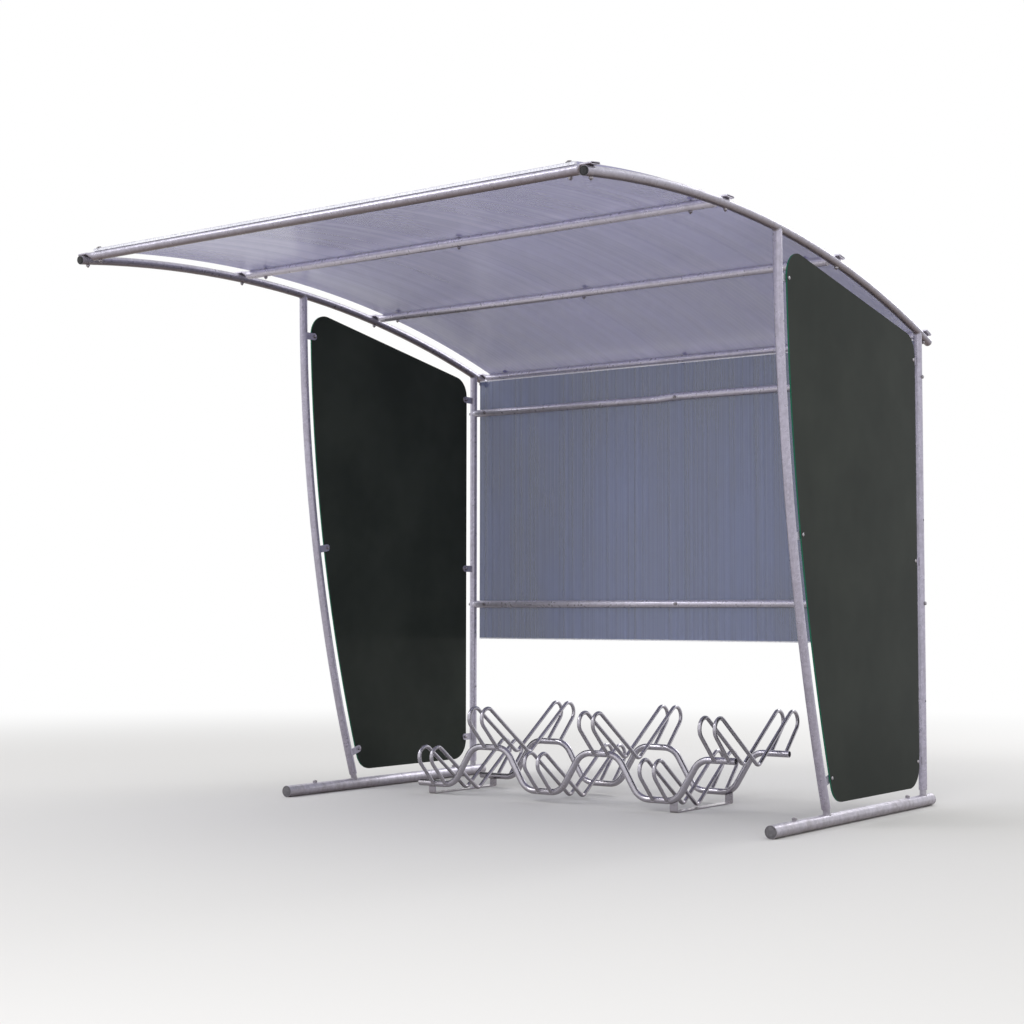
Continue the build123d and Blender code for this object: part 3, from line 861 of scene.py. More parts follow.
@dataclass
class Fixings:
    """Bolts, nuts and washers, each kind made once and then set at its places. Sizes in metres."""

    flats: float = 13.0 * MM
    anchor_flats: float = 17.0 * MM
    head: float = 5.3 * MM
    nut: float = 5.6 * MM
    bolt_end: float = 11.0 * MM
    anchor_nut: float = 5.6 * MM
    anchor_end: float = 8.6 * MM
    washer: float = 15.0 * MM
    anchor_washer: float = 20.0 * MM
    washer_thickness: float = 1.2 * MM
    bolt: float = 7.4 * MM
    anchor_bolt: float = 10.0 * MM
    pitch: float = 1.25 * MM
    dome: float = 14.0 * MM
    dome_rise: float = 3.6 * MM
    crown_rise: float = 2.5 * MM
    seal: float = 25.0 * MM
    seal_chamfer: float = 0.4 * MM
    seal_cup_rise: float = 1.4 * MM
    seal_cup_inset: float = 1.0 * MM
    sealed_head_foot: float = 0.9 * MM
    sealed_head: float = 5.8 * MM
    clamped: float = 43.7 * MM
    washer_edge: float = 0.25 * MM
    thread_depth: float = 0.6 * MM
    dome_edge: float = 0.7 * MM
    meshes: dict[Fixing, bpy.types.Mesh] = field(default_factory=dict)

    def _washer(self, piece: Piece, diameter: float, hole: float) -> None:
        """Add a flat washer with softened edges.

        Args:
            piece: The piece that takes it.
            diameter: Outer diameter.
            hole: Diameter of its hole.
        """
        r, t, e = diameter / 2, self.washer_thickness, self.washer_edge
        profile = ((hole / 2, 0.0), (r - e, 0.0), (r, e), (r, t - e), (r - e, t), (hole / 2, t))
        piece.turned((*profile, profile[0]), Matrix(), FIXING_ZINC)

    def _thread(self, piece: Piece, diameter: float, low: float, high: float) -> None:
        """Add a bolt's end with its thread and a chamfered tip.

        Args:
            piece: The piece that takes it.
            diameter: Outer diameter of the thread.
            low: Height at which it starts.
            high: Height of its tip.
        """
        r, depth = diameter / 2, self.thread_depth
        profile = [(0.0, low), (r - depth, low)]
        z = low
        while z + self.pitch < high - depth:
            profile += [(r, z + self.pitch / 2), (r - depth, z + self.pitch)]
            z += self.pitch
        profile += [(r - depth, high - depth), (r - 2 * depth, high), (0.0, high)]
        piece.turned(profile, Matrix(), FIXING_ZINC, 24)

    def _dome(self, piece: Piece, low: float, diameter: float, rise: float) -> None:
        """Add a low round head on a short straight edge.

        Args:
            piece: The piece that takes it.
            low: Height of its foot.
            diameter: Its diameter.
            rise: Its whole height.
        """
        r, edge = diameter / 2, self.dome_edge
        profile = [(0.0, low), (r, low), (r, low + edge)]
        for i in range(1, 8):
            angle = math.radians(90 * i / 8)
            profile.append((r * math.cos(angle), low + edge + (rise - edge) * math.sin(angle)))
        piece.turned((*profile, (0.0, low + rise)), Matrix(), FIXING_ZINC)

    def _build(self, kind: Fixing) -> Piece:
        """Mesh of one kind of fixing, standing on the ground of its own frame.

        Args:
            kind: The kind of fixing.

        Returns:
            The piece, not yet in the scene.
        """
        piece = Piece(kind.name.lower())
        t = self.washer_thickness
        if kind is Fixing.HEAD:
            self._washer(piece, self.washer, self.bolt)
            piece.hexagon(self.flats, t, t + self.head, Matrix(), FIXING_ZINC)
        elif kind is Fixing.NUT:
            self._washer(piece, self.washer, self.bolt)
            piece.hexagon(self.flats, t, t + self.nut, Matrix(), FIXING_ZINC, True)
            self._thread(piece, self.bolt, t + 0.5 * self.nut, self.bolt_end)
        elif kind is Fixing.DOME:
            self._dome(piece, 0.0, self.dome, self.dome_rise)
        elif kind is Fixing.CROWN:
            self._dome(piece, 0.0, self.dome, self.crown_rise)
        elif kind is Fixing.SEALED:
            r = self.seal / 2
            rubber = ((0.0, 0.0), (r, 0.0), (r - self.seal_chamfer, t), (0.0, t))
            piece.turned(rubber, Matrix(), SEAL_RUBBER)
            self._dome(piece, t, 2 * (r - self.seal_cup_inset), self.seal_cup_rise)
            piece.hexagon(self.flats, t + self.sealed_head_foot, self.sealed_head, Matrix(),
                          FIXING_ZINC)
            self._thread(piece, self.bolt, -self.clamped, 0.0)
        else:
            self._washer(piece, self.anchor_washer, self.anchor_bolt)
            piece.hexagon(self.anchor_flats, t, t + self.anchor_nut, Matrix(), FIXING_ZINC, True)
            self._thread(piece, self.anchor_bolt, t + 0.5 * self.anchor_nut, self.anchor_end)
        return piece

    def set(
        self, kind: Fixing, name: str, place: Vector, out: Vector, replaces: str = ""
    ) -> None:
        """Set one fixing at its place.

        Args:
            kind: The kind of fixing.
            name: Plain name of this one.
            place: Point of the surface that it sits on.
            out: Direction out of that surface.
            replaces: The CAD node that it stands for, if any.
        """
        if kind in self.meshes:
            obj = show(bpy.data.objects.new(name, self.meshes[kind]), STEEL_SLOT, replaces)
        else:
            piece = self._build(kind)
            piece.name = name
            obj = piece.into_scene(STEEL_SLOT, replaces)
            self.meshes[kind] = obj.data
        twist = Matrix.Rotation(math.radians(37 * Piece.made % 60), 4, "Z")
        obj.matrix_world = Matrix.Translation(place) @ turned_to(out) @ twist


# Sub-assemblies


@dataclass
class SideFrames:
    """The two side frames of base tube, posts and rafter, with their welds and anchors."""

    fixings: Fixings
    anchor_reach: tuple[float, float] = (-1109.0, -150.0)
    sleeve_top: float = 50.3
    bead: float = 2.6
    weld_gap: float = 0.2
    hub_drop: float = 30.0

    def build(self) -> None:
        """Dress both frames and add their welds and anchor nuts."""
        for name, side in SIDES:
            x = side * LINES.spacing / 2
            dress(BASE_ZINC, f"base_tube_{name}")
            dress(FRAME_ZINC, f"front_post_{name}", f"rear_post_{name}")
            # rafters take the darker zinc: painted shade
            dress(SHADED_RAFTER_ZINC, f"rafter_{name}")
            self.weld_posts(name, x)
            for end, y in zip(("front", "rear"), self.anchor_reach):
                self.fixings.set(Fixing.ANCHOR, f"anchor_nut_{name}_{end}",
                                 LINES.at(x, y, self.sleeve_top), Vector((0, 0, 1)))

    def weld_posts(self, name: str, x: float) -> None:
        """Weld the spigots to the base tube and the posts to the rafter.

        Args:
            name: Side of the shelter.
            x: Place of the frame in millimetres.
        """
        foot_z = LINES.base + LINES.post_lift
        base_axis = LINES.at(x, 0.0, LINES.base / 2)
        for end, y, up in (
            ("front", LINES.post_y(foot_z), LINES.post_up(foot_z)),
            ("rear", 0.0, Vector((0, 0, 1))),
        ):
            foot = LINES.at(x, y, foot_z)
            ring = joint_ring(foot, up, LINES.spigot / 2 * MM, base_axis, Vector((0, 1, 0)),
                              LINES.base / 2 * MM, True)
            piece = Piece(f"spigot_weld_{name}_{end}")
            piece.bead(ring, self.bead * MM, foot, True, WELD_ZINC)
            piece.into_scene(STEEL_SLOT, sharp=WELD_SHARP)
        for end, y in (("front", -LINES.post_reach), ("rear", 0.0)):
            top = LINES.at(x, y, LINES.rafter_height(y))
            square = LINES.rafter_up(y)
            along = Vector((1, 0, 0)).cross(square)
            up = LINES.post_up(LINES.rafter_height(y)) if end == "front" else Vector((0, 0, 1))
            ring = joint_ring(top, up, LINES.tube / 2 * MM, top, along,
                              (LINES.tube / 2 + self.weld_gap) * MM, False)
            piece = Piece(f"rafter_weld_{name}_{end}")
            piece.bead(ring, self.bead * MM, top - up * self.hub_drop * MM, True, WELD_ZINC)
            piece.into_scene(STEEL_SLOT, sharp=WELD_SHARP)


@dataclass
class SidePanels:
    """The two side panels with the lugs' welds and bolts."""

    fixings: Fixings
    lug_reach: float = 66.0
    lug_width: float = 30.0
    lug_thickness: float = 5.0
    panel_thickness: float = 6.0
    gap: float = 35.0
    seat: float = 0.3
    front_insets: tuple[float, float, float] = (73.0, 967.0, 120.0)
    rear_insets: tuple[float, float, float] = (102.0, 906.0, 89.0)
    bead: float = 1.7
    weld_gap: float = 0.4
    weld_inset: float = 1.0

    def build(self) -> None:
        """Dress the panels and fix each of them to its six lugs."""
        edge = LINES.tube / 2 + self.gap
        bottom = LINES.base + self.gap
        for name, side in SIDES:
            dress(LAMINATE, f"side_panel_{name}")
            for end, insets, corner in (
                ("front", self.front_insets, edge - LINES.post_reach),
                ("rear", self.rear_insets, -edge),
            ):
                top = LINES.rafter_height(corner) - edge
                heights = (bottom + insets[0], bottom + insets[1], top - insets[2])
                for level, z in zip(("low", "middle", "top"), heights):
                    self.fix_lug(f"{name}_{end}_{level}", side, end == "front", z)

    def fix_lug(self, name: str, side: int, front: bool, z: float) -> None:
        """Bolt the panel to one lug and weld the lug to its post.

        Args:
            name: Side, end and level of the lug.
            side: -1 for the left frame and 1 for the right one.
            front: Whether the lug is on the front post.
            z: Height of the lug's root on the post's axis in millimetres.
        """
        x = side * LINES.spacing / 2
        lean = LINES.post_lean(z) if front else math.pi
        y = LINES.post_y(z) if front else 0.0
        out = Vector((0.0, math.cos(lean), math.sin(lean)))
        up = Vector((0.0, -math.sin(lean), math.cos(lean)))
        axis = LINES.at(x, y, z)
        hole = axis + out * self.lug_reach * MM
        sideways = Vector((side, 0, 0))
        outer = (self.lug_thickness / 2 + self.seat + self.panel_thickness) * MM
        self.fixings.set(Fixing.DOME, f"panel_bolt_{name}", hole + sideways * outer, sideways)
        self.fixings.set(Fixing.NUT, f"panel_nut_{name}",
                         hole - sideways * self.lug_thickness / 2 * MM, -sideways)
        piece = Piece(f"lug_weld_{name}")
        root = math.sqrt((LINES.tube / 2) ** 2 - (self.lug_thickness / 2) ** 2) * MM
        half = (self.lug_width / 2 - self.weld_inset) * MM
        aside = (self.lug_thickness / 2 + self.weld_gap) * MM
        for face in (-1, 1):
            mid = axis + out * root + Vector((face * aside, 0, 0))
            piece.bead([mid - up * half, mid, mid + up * half], self.bead * MM, axis, False,
                       WELD_ZINC)
        piece.into_scene(STEEL_SLOT, sharp=WELD_SHARP)


@dataclass
class CrossRails:
    """The four rails across the rafters, with the bolts through their flattened ends."""

    fixings: Fixings
    stations: dict[str, float] = field(default_factory=lambda: {
        "front_rail": -2390.0, "purlin_front": -1574.0, "purlin_rear": -735.0, "rear_rail": 60.0})
    rise: float = 10.3
    tongue_top: float = 25.75

    def build(self) -> None:
        """Dress the rails and bolt both ends of each down on the rafters."""
        for rail, y in self.stations.items():
            # front rail in the darker zinc (painted shade), the other rails in the paler zinc (painted
            # light)
            dress(SHADED_RAFTER_ZINC if rail == "front_rail" else LIT_RAIL_ZINC, rail)
            up = LINES.rafter_up(y)
            for name, side in SIDES:
                x = side * LINES.spacing / 2
                self.fixings.set(Fixing.CROWN, f"{rail}_bolt_{name}",
                                 LINES.over_rafter(x, y, self.tongue_top), up)
                self.fixings.set(Fixing.NUT, f"{rail}_nut_{name}",
                                 LINES.over_rafter(x, y, -LINES.tube / 2), -up)


@dataclass
class TwinWall:
    """Extruded sheet of two skins with its cells open at both ends of the flutes.

    Only the mouths of the cells are cut. Further in, the webs are lines in the sheet's finish.
    """

    name: str
    finish: TwinWallSheet
    slot: str
    half_width: float
    cell: float = 11.0
    skin: float = 0.8
    web: float = 1.0
    depth: float = 1.5

    def build(
        self, near: Callable[[float], Vector], far: Callable[[float], Vector],
        stations: Sequence[float],
    ) -> None:
        """Build the sheet between two lines.

        Args:
            near: Gives the near skin's point in the plane x = 0 at a station.
            far: Gives the far skin's point in that plane.
            stations: Stations along the flutes, from one end to the other.
        """
        piece = Piece(self.name)
        skin, sawn_and_lit = piece.index(self.finish), piece.index(SAWN_AND_LIT_SHEET)
        count = round(2 * self.half_width / self.cell)
        xs = [(-self.half_width + 2 * self.half_width * i / count) * MM for i in range(count + 1)]
        new = piece.mesh.verts.new
        rows: list[dict[str, list[bmesh.types.BMVert]]] = []
        for k, station in enumerate(stations):
            edge = k in (0, len(stations) - 1)
            places = xs if edge else (xs[0], xs[-1])
            rows.append({
                key: [new(line(station) + Vector((x, 0, 0))) for x in places]
                for key, line in (("near", near), ("far", far))
            })
        for k, (low, high) in enumerate(zip(rows, rows[1:])):
            # the end strips take the pale sheet-end finish: partly painted light
            index = sawn_and_lit if k in (0, len(rows) - 2) else skin
            for key in ("near", "far"):
                piece.face([*low[key], *reversed(high[key])], index)
            for end in (0, -1):
                piece.face(
                    (low["near"][end], high["near"][end], high["far"][end], low["far"][end]), index
                )
        for k, inward in ((0, 1), (len(stations) - 1, -1)):
            self._cells(piece, xs, rows[k], near, far, stations[k], inward)
        piece.into_scene(self.slot, self.name.replace("_twin_wall", ""))

    def _cells(
        self, piece: Piece, xs: Sequence[float],
        row: dict[str, list[bmesh.types.BMVert]], near: Callable[[float], Vector],
        far: Callable[[float], Vector], station: float, inward: int,
    ) -> None:
        """Close one end of the sheet with its row of open cells.

        Args:
            piece: The piece that takes the faces.
            xs: Places of the webs.
            row: The end's points on both skins.
            near: Gives the near skin's point at a station.
            far: Gives the far skin's point at a station.
            station: Station of the end.
            inward: Direction into the sheet along the stations.
        """
        # the cells take the pale sheet-end finish: painted light over what would be their shade
        index = piece.index(SAWN_AND_LIT_SHEET)
        floor = station + inward * self.depth
        share = self.skin / ((far(station) - near(station)).length / MM)
        lines = [
            (near(s).lerp(far(s), share), near(s).lerp(far(s), 1 - share))
            for s in (station, floor)
        ]
        for i, (left, right) in enumerate(zip(xs, xs[1:])):
            a, b = left + self.web / 2 * MM, right - self.web / 2 * MM
            mouth, back = (
                [piece.mesh.verts.new(line + Vector((x, 0, 0)))
                 for line, x in ((low, a), (low, b), (high, b), (high, a))]
                for low, high in lines
            )
            rim = (row["near"][i], row["near"][i + 1], row["far"][i + 1], row["far"][i])
            for j in range(4):
                n = (j + 1) % 4
                piece.face((rim[j], rim[n], mouth[n], mouth[j]), index)
                piece.face((mouth[j], mouth[n], back[n], back[j]), index)
            piece.face(back, index)


@dataclass
class Roof:
    """The curved roof sheet on the cross rails and its sealed bolts."""

    fixings: Fixings
    rails: CrossRails
    side_gap: float = 50.0
    front_overhang: float = 13.0
    rear_overhang: float = 34.0
    thickness: float = 10.0
    purlin_inset: float = 137.0
    front_inset: float = 74.0
    # length at each end of the skins that takes the sheet-end finish: hazed by the saw, and painted
    # light so that the end doesn't show dark against the rail
    hazed_and_lit: float = 12.0
    steps: int = 60

    def build(self) -> None:
        """Build the sheet and bolt it down on the four rails."""
        under = self.rails.rise + LINES.tube / 2
        stations = self.rails.stations
        front = stations["front_rail"] - self.front_overhang
        back = stations["rear_rail"] + self.rear_overhang
        ys = [front + (back - front) * i / self.steps for i in range(self.steps + 1)]
        ys[1:1], ys[-1:-1] = [front + self.hazed_and_lit], [back - self.hazed_and_lit]

        def line(above: float) -> Callable[[float], Vector]:
            """Line that runs evenly above the rafters, by place."""
            return lambda y: LINES.at(0.0, y, LINES.rafter_height(y, above))

        sheet = TwinWall("roof_sheet_twin_wall", ROOF_SHEET, "roof_sheet",
                         LINES.spacing / 2 - self.side_gap)
        sheet.build(line(under), line(under + self.thickness), ys)
        for rail, y in stations.items():
            up = LINES.rafter_up(y)
            reach = LINES.spacing / 2 - self.purlin_inset
            places = {"left": -reach, "middle": 0.0, "right": reach}
            if rail == "front_rail":
                reach = LINES.spacing / 2 - self.front_inset
                places = {"left": -reach, "right": reach}
            for name, x in places.items():
                self.fixings.set(Fixing.SEALED, f"roof_bolt_{rail}_{name}",
                                 LINES.over_rafter(x, y, under + self.thickness), up,
                                 f"roof_bolts_{rail}")
                self.fixings.set(Fixing.NUT, f"roof_nut_{rail}_{name}",
                                 LINES.over_rafter(x, y, self.rails.rise - LINES.tube / 2), -up)


@dataclass
class BackWall:
    """The two back rails and the fluted sheet behind them."""

    fixings: Fixings
    lower: float = 819.0
    upper_drop: float = 188.0
    drop: float = 166.0
    top_drop: float = 29.0
    side_gap: float = 25.0
    thickness: float = 10.0
    seat: float = 0.3
    inset: float = 80.0
    # length at each end of the skins that takes the sheet-end finish: hazed by the saw, and painted
    # light so that the ends don't show dark
    hazed_and_lit: float = 5.0

    def build(self) -> None:
        """Dress the rails, build the sheet and set all their bolts."""
        # back rails in the paler zinc: painted light
        dress(LIT_RAIL_ZINC, "back_rail_lower", "back_rail_upper")
        skin = LINES.tube / 2 + self.seat
        bottom = self.lower - self.drop
        top = LINES.rafter_height(0.0) - self.top_drop
        stations = [bottom, bottom + self.hazed_and_lit, (bottom + top) / 2, top - self.hazed_and_lit, top]

        def line(y: float) -> Callable[[float], Vector]:
            """Upright line at a place, by height."""
            return lambda z: LINES.at(0.0, y, z)

        sheet = TwinWall("back_sheet_twin_wall", BACK_SHEET, "back_sheet",
                         LINES.spacing / 2 - self.side_gap)
        sheet.build(line(skin), line(skin + self.thickness), stations)
        reach = LINES.spacing / 2 - self.inset
        upper = LINES.rafter_height(0.0) - self.upper_drop
        for level, z in (("lower", self.lower), ("upper", upper)):
            for name, x in (("left", -reach), ("middle", 0.0), ("right", reach)):
                self.fixings.set(Fixing.SEALED, f"back_bolt_{level}_{name}",
                                 LINES.at(x, skin + self.thickness, z), Vector((0, 1, 0)))
                self.fixings.set(Fixing.NUT, f"back_nut_{level}_{name}",
                                 LINES.at(x, -LINES.tube / 2, z), Vector((0, -1, 0)))
            for name, side in SIDES:
                self.fixings.set(
                    Fixing.HEAD, f"back_rail_bolt_{level}_{name}",
                    LINES.at(side * (LINES.spacing + LINES.tube) / 2, 0.0, z), Vector((side, 0, 0)))


@dataclass
class EndCaps:
    """Plastic caps in the ends of the base tubes and the rafters."""

    base_front: float = 1284.0
    base_rear: float = 72.0
    rafter_front: float = 2424.0
    rafter_rear: float = 104.0
    flange: float = 2.5
    face: float = 4.0
    flange_inset: float = 1.2
    edge_rise: float = 0.7
    edge_reach: float = 1.6
    edge_round: float = 1.1
    plug_depth: float = 14.0
    plug_clearance: float = 0.4
    hollow: float = 1.5
    ribs: int = 3
    rib_pitch: float = 3.6
    rib_depth: float = 0.5
    groove_share: float = 0.8
    groove_depth: float = 1.6
    seat: float = 0.3
    base_wall: float = 2.9
    base_dome: float = 2.6
    rafter_wall: float = 2.6
    rafter_dome: float = 1.0

    def cap(self, name: str, at: Matrix, diameter: float, wall: float, finish: Finish,
            slot: str, dome: float) -> None:
        """Mould one cap: a ribbed plug, a rounded rim, a ring groove and a low domed face.

        Args:
            name: The CAD node that the cap stands for.
            at: Place of the tube's end, with Z out of the tube.
            diameter: Outer diameter of the tube in millimetres.
            wall: Wall of the tube in millimetres.
            finish: Finish of the cap.
            slot: The record's material slot.
            dome: Rise of the face's middle above its ring in millimetres.
        """
        rim = diameter / 2 - self.flange_inset
        plug = diameter / 2 - wall - self.plug_clearance
        end, core, edge = -self.plug_depth, plug - self.rib_depth, self.flange - self.edge_rise
        profile = [(0.0, end + self.hollow), (plug - 3.0, end + self.hollow), (plug - 2.0, end),
                   (plug - 0.8, end)]
        for rib in range(self.ribs):
            z = end + 3.0 + self.rib_pitch * rib
            profile += [(core, z), (plug, z + 1.0), (core, z + 2.0)]
        profile += [(core, self.seat), (rim, self.seat), (rim, edge)]
        for i in range(1, 5):
            angle = math.radians(90 * i / 4)
            profile.append((rim - self.edge_reach * (1 - math.cos(angle)),
                            edge + self.edge_round * math.sin(angle)))
        groove, ring = rim * self.groove_share, self.face - 1.0
        bed = ring - self.groove_depth
        profile += [(groove + 0.9, ring), (groove + 0.6, bed), (groove - 0.3, bed)]
        for i in range(9):
            share = i / 8
            profile.append(((groove - 0.6) * (1 - share), ring + dome * (1 - (1 - share) ** 2)))
        piece = Piece(f"{name}_moulded")
        piece.turned([(r * MM, z * MM) for r, z in profile], at, finish, 48)
        piece.into_scene(slot, name, sharp=38)

    def build(self) -> None:
        """Set the eight caps."""
        for name, side in SIDES:
            x = side * LINES.spacing / 2
            for end, out, base_y, rafter_y in (
                ("front", -1, -self.base_front, -self.rafter_front),
                ("rear", 1, self.base_rear, self.rafter_rear),
            ):
                at = Matrix.Translation(LINES.at(x, base_y, LINES.base / 2))
                self.cap(f"base_cap_{name}_{end}", at @ turned_to(Vector((0, out, 0))), LINES.base,
                         self.base_wall, BASE_CAP_PLASTIC, "base_cap", self.base_dome)
                along = LINES.rafter_up(rafter_y).cross(Vector((1, 0, 0))) * out
                at = Matrix.Translation(LINES.over_rafter(x, rafter_y, 0.0))
                self.cap(f"rafter_cap_{name}_{end}", at @ turned_to(along), LINES.tube,
                         self.rafter_wall, RAFTER_CAP_PLASTIC, "rafter_cap", self.rafter_dome)


@dataclass
class BikeRack:
    """The free-standing rack of two bent rails, six pairs of bent rods and two foot straps."""

    centre_y: float = -580.0
    offset: float = 217.0
    rail: float = 26.9
    rod: float = 16.0
    spacing: float = 66.0
    places: int = 6
    first: float = -704.0
    pitch: float = 277.5
    low_height: float = 45.0
    high_height: float = 213.0
    low_arch: tuple[float, float] = (283.0, 206.0)
    high_arch: tuple[float, float] = (294.0, 380.5)
    arch_radius: float = 42.0
    foot_thickness: float = 5.0
    foot_width: float = 35.0
    weld_offset: float = 8.0
    end_rise: float = 6.0
    bead: float = 2.0
    hub_rise: float = 30.0
    # the feet stand beside the first and the fifth wheel place
    foot_left: float = -48.0
    foot_right: float = 56.0
    foot_bead: float = 1.6
    foot_weld_gap: float = 0.3
    foot_weld_inset: float = 1.0

    def leg(self, place: int, end: int) -> tuple[Vector, Vector]:
        """Directions of a rod's outer leg.

        Args:
            place: Wheel place, counted from 0 at the left.
            end: -1 for the front rail and 1 for the rear one.

        Returns:
            The direction up the leg and the direction square to it, away from the arch.
        """
        low = place % 2 == 0
        reach, top = self.low_arch if low else self.high_arch
        dy = reach - self.offset
        dz = top - self.arch_radius - (self.low_height if low else self.high_height)
        slope = math.atan2(dz, dy) - math.asin(
            (self.arch_radius - self.weld_offset) / math.hypot(dy, dz))
        return (Vector((0.0, end * math.cos(slope), math.sin(slope))),
                Vector((0.0, end * math.sin(slope), -math.cos(slope))))

    def weld_rods(self, place: int) -> None:
        """Weld the four rod ends of one wheel place to the two rails, right round each rod.

        Args:
            place: Wheel place, counted from 0 at the left.
        """
        height = self.low_height if place % 2 == 0 else self.high_height
        piece = Piece(f"rod_welds_{place + 1}")
        for end in (-1, 1):
            along, across = self.leg(place, end)
            for rod in (-1, 1):
                x = self.first + place * self.pitch + rod * self.spacing / 2
                axis = LINES.at(x, self.centre_y + end * self.offset, height)
                ring = []
                for i in range(48):
                    angle = math.tau * i / 48
                    aside = Vector((self.rod / 2 * math.cos(angle), 0.0, 0.0))
                    outward = self.weld_offset + self.rod / 2 * math.sin(angle)
                    rise = math.sqrt(max(0.0, (self.rail / 2) ** 2 - outward ** 2))
                    rise = max(rise, self.end_rise)
                    ring.append(axis + (aside + across * outward + along * rise) * MM)
                hub = axis + (across * self.weld_offset + along * self.hub_rise) * MM
                piece.bead(ring, self.bead * MM, hub, True, WELD_ZINC)
        piece.into_scene(STEEL_SLOT, sharp=WELD_SHARP)

    def weld_foot(self, name: str, x: float) -> None:
        """Weld one foot strap to both rails.

        Args:
            name: Side of the foot.
            x: Middle of the strap in millimetres.
        """
        piece = Piece(f"foot_welds_{name}")
        z = self.low_height - math.sqrt((self.rail / 2) ** 2 - (self.foot_thickness / 2) ** 2)
        half = self.foot_width / 2 - self.foot_weld_inset
        for end in (-1, 1):
            rail_y = self.centre_y + end * self.offset
            hub = LINES.at(x, rail_y, self.low_height)
            for face in (-1, 1):
                y = rail_y + face * (self.foot_thickness / 2 + self.foot_weld_gap)
                line = [LINES.at(x + share * half, y, z) for share in (-1, 0, 1)]
                piece.bead(line, self.foot_bead * MM, hub, False, WELD_ZINC)
        piece.into_scene(STEEL_SLOT, sharp=WELD_SHARP)

    def build(self) -> None:
        """Dress the rack and add its welds."""
        dress(RACK_ZINC, "rack_rail_front", "rack_rail_rear", "rack_foot_left", "rack_foot_right")
        for place in range(self.places):
            dress(RACK_ZINC, f"rack_holder_{place + 1}")
            self.weld_rods(place)
        self.weld_foot("left", self.first + self.foot_left)
        self.weld_foot("right", self.first + 4 * self.pitch + self.foot_right)


# Studio


@dataclass(frozen=True)
class Lamp:
    """One soft square lamp that faces the shelter's middle, with its sizes in metres and watts."""

    name: str
    place: Size
    side: float
    power: float
    mirrored: bool = True

    def hang(self, target: Vector) -> None:
        """Hang the lamp at its place.

        Args:
            target: The point that it faces.
        """
        data = bpy.data.lights.new(self.name, "AREA")
        data.shape, data.size, data.energy = "SQUARE", self.side, self.power
        lamp = bpy.data.objects.new(self.name, data)
        place = Vector(self.place)
        turn = (target - place).to_track_quat("-Z", "Y").to_matrix().to_4x4()
        lamp.matrix_world = Matrix.Translation(place) @ turn
        lamp.visible_glossy = self.mirrored
        bpy.context.scene.collection.objects.link(lamp)


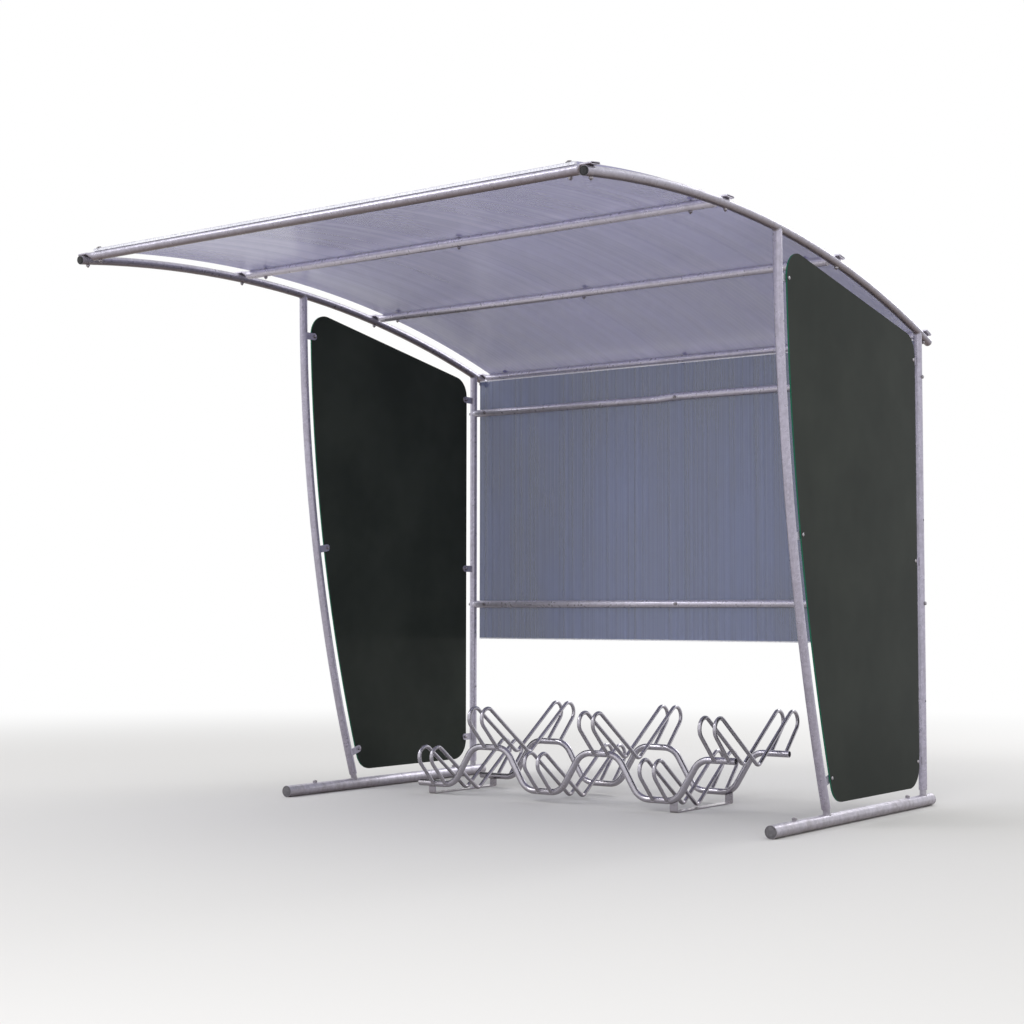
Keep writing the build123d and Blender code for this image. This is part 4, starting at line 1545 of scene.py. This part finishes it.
@dataclass
class Studio:
    """Plain pale floor, even soft light and a camera at the photograph's angle."""

    # the low front lamp isn't mirrored, because at a flat angle the roof sheet would show it as
    # a white patch
    lamps: tuple[Lamp, ...] = (
        Lamp("key_light", (-4.5, -5.5, 6.5), 3.0, 170.0),
        Lamp("front_light", (3.5, -7.5, 2.6), 3.0, 210.0, mirrored=False),
        Lamp("back_light", (1.0, 6.5, 5.0), 3.5, 150.0),
    )
    lamp_target: Size = (0.0, 0.0, 1.0)

    floor_radius: float = 30.0
    floor_drop: float = 0.5 * MM
    fade_start: float = 3.2
    fade_end: float = 8.0
    floor_colour: str = "#e4e3e2"
    fill: float = 0.74
    focal_px: float = 1769.23
    frame_px: float = 1024.0
    yaw: float = 0.638611156
    pitch: float = -0.0556950347
    roll: float = 0.000958367195
    eye: tuple[float, float, float] = (4105.325, -6766.249, 787.898)

    def shown_light(self, tree: Tree) -> bpy.types.Node:
        """Strength that is 1 for what the eye, gloss and clear pieces see, and the fill for the rest.

        Args:
            tree: Node tree of the world or of the floor.

        Returns:
            The node that gives the strength.
        """
        path = add(tree, "LightPath")
        either = path.outputs["Is Camera Ray"]
        for name in ("Is Glossy Ray", "Is Transmission Ray"):
            either = add(
                tree, "Math", {"operation": "MAXIMUM"}, {0: either, 1: path.outputs[name]}
            )
        return add(tree, "MapRange", {"To Min": self.fill, "To Max": 1.0}, {"Value": either})

    def floor(self) -> None:
        """Lay the floor, which fades to plain white away from the shelter."""
        material = bpy.data.materials.new("pale_studio_floor")
        material.use_nodes = True
        tree = material.node_tree
        tree.nodes.clear()
        place = add(tree, "TexCoord").outputs["Object"]
        reach = add(tree, "VectorMath", {"operation": "LENGTH"}, {0: place})
        far = add(
            tree, "MapRange",
            {"interpolation_type": "SMOOTHSTEP", "From Min": self.fade_start,
             "From Max": self.fade_end},
            {"Value": reach.outputs["Value"]},
        )
        matt = add(tree, "BsdfDiffuse", {"Color": linear(self.floor_colour)})
        white = add(
            tree, "Emission", {"Color": grey(1.0)}, {"Strength": self.shown_light(tree)}
        )
        surface = add(tree, "MixShader", links={0: far, 1: matt, 2: white})
        add(tree, "OutputMaterial", links={"Surface": surface})
        mesh = bmesh.new()
        bmesh.ops.create_circle(mesh, cap_ends=True, radius=self.floor_radius, segments=96)
        data = bpy.data.meshes.new("studio_floor")
        mesh.to_mesh(data)
        mesh.free()
        data.materials.append(material)
        floor = bpy.data.objects.new("studio_floor", data)
        floor.location.z = -self.floor_drop
        bpy.context.scene.collection.objects.link(floor)

    def world(self) -> None:
        """Set a plain white world at an even level."""
        world = bpy.data.worlds.new("studio_world")
        world.use_nodes = True
        tree = world.node_tree
        tree.nodes.clear()
        light = add(
            tree, "Background", {"Color": grey(1.0)}, {"Strength": self.shown_light(tree)}
        )
        add(tree, "OutputWorld", links={"Surface": light})
        bpy.context.scene.world = world

    def camera(self) -> None:
        """Set the camera at the photograph's place and angle."""
        data = bpy.data.cameras.new("camera")
        data.sensor_width = 36.0
        data.lens = self.focal_px * data.sensor_width / self.frame_px
        camera = bpy.data.objects.new("camera", data)
        ahead = Vector((
            -math.sin(self.yaw) * math.cos(self.pitch),
            math.cos(self.yaw) * math.cos(self.pitch),
            -math.sin(self.pitch),
        ))
        level = Vector((math.cos(self.yaw), math.sin(self.yaw), 0.0))
        over = level.cross(ahead)
        right = level * math.cos(self.roll) + over * math.sin(self.roll)
        up = over * math.cos(self.roll) - level * math.sin(self.roll)
        turn = Matrix((right, up, -ahead)).transposed().to_4x4()
        camera.matrix_world = Matrix.Translation(LINES.at(*self.eye)) @ turn
        bpy.context.scene.collection.objects.link(camera)
        bpy.context.scene.camera = camera

    def build(self) -> None:
        """Set the whole studio."""
        bpy.context.scene.view_settings.view_transform = "Standard"
        self.floor()
        self.world()
        for lamp in self.lamps:
            lamp.hang(Vector(self.lamp_target))
        self.camera()


def main() -> None:
    """Build every sub-assembly of the shelter in order."""
    logging.basicConfig(level=logging.INFO, format="%(name)s: %(message)s")
    fixings = Fixings()
    rails = CrossRails(fixings)
    for part in (
        SideFrames(fixings), SidePanels(fixings), rails, Roof(fixings, rails), BackWall(fixings),
        EndCaps(), BikeRack(), Studio(),
    ):
        part.build()
        LOG.info("%s done", type(part).__name__)
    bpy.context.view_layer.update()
    LOG.info("%d pieces in the scene", Piece.made)


if __name__ == "__main__":
    main()
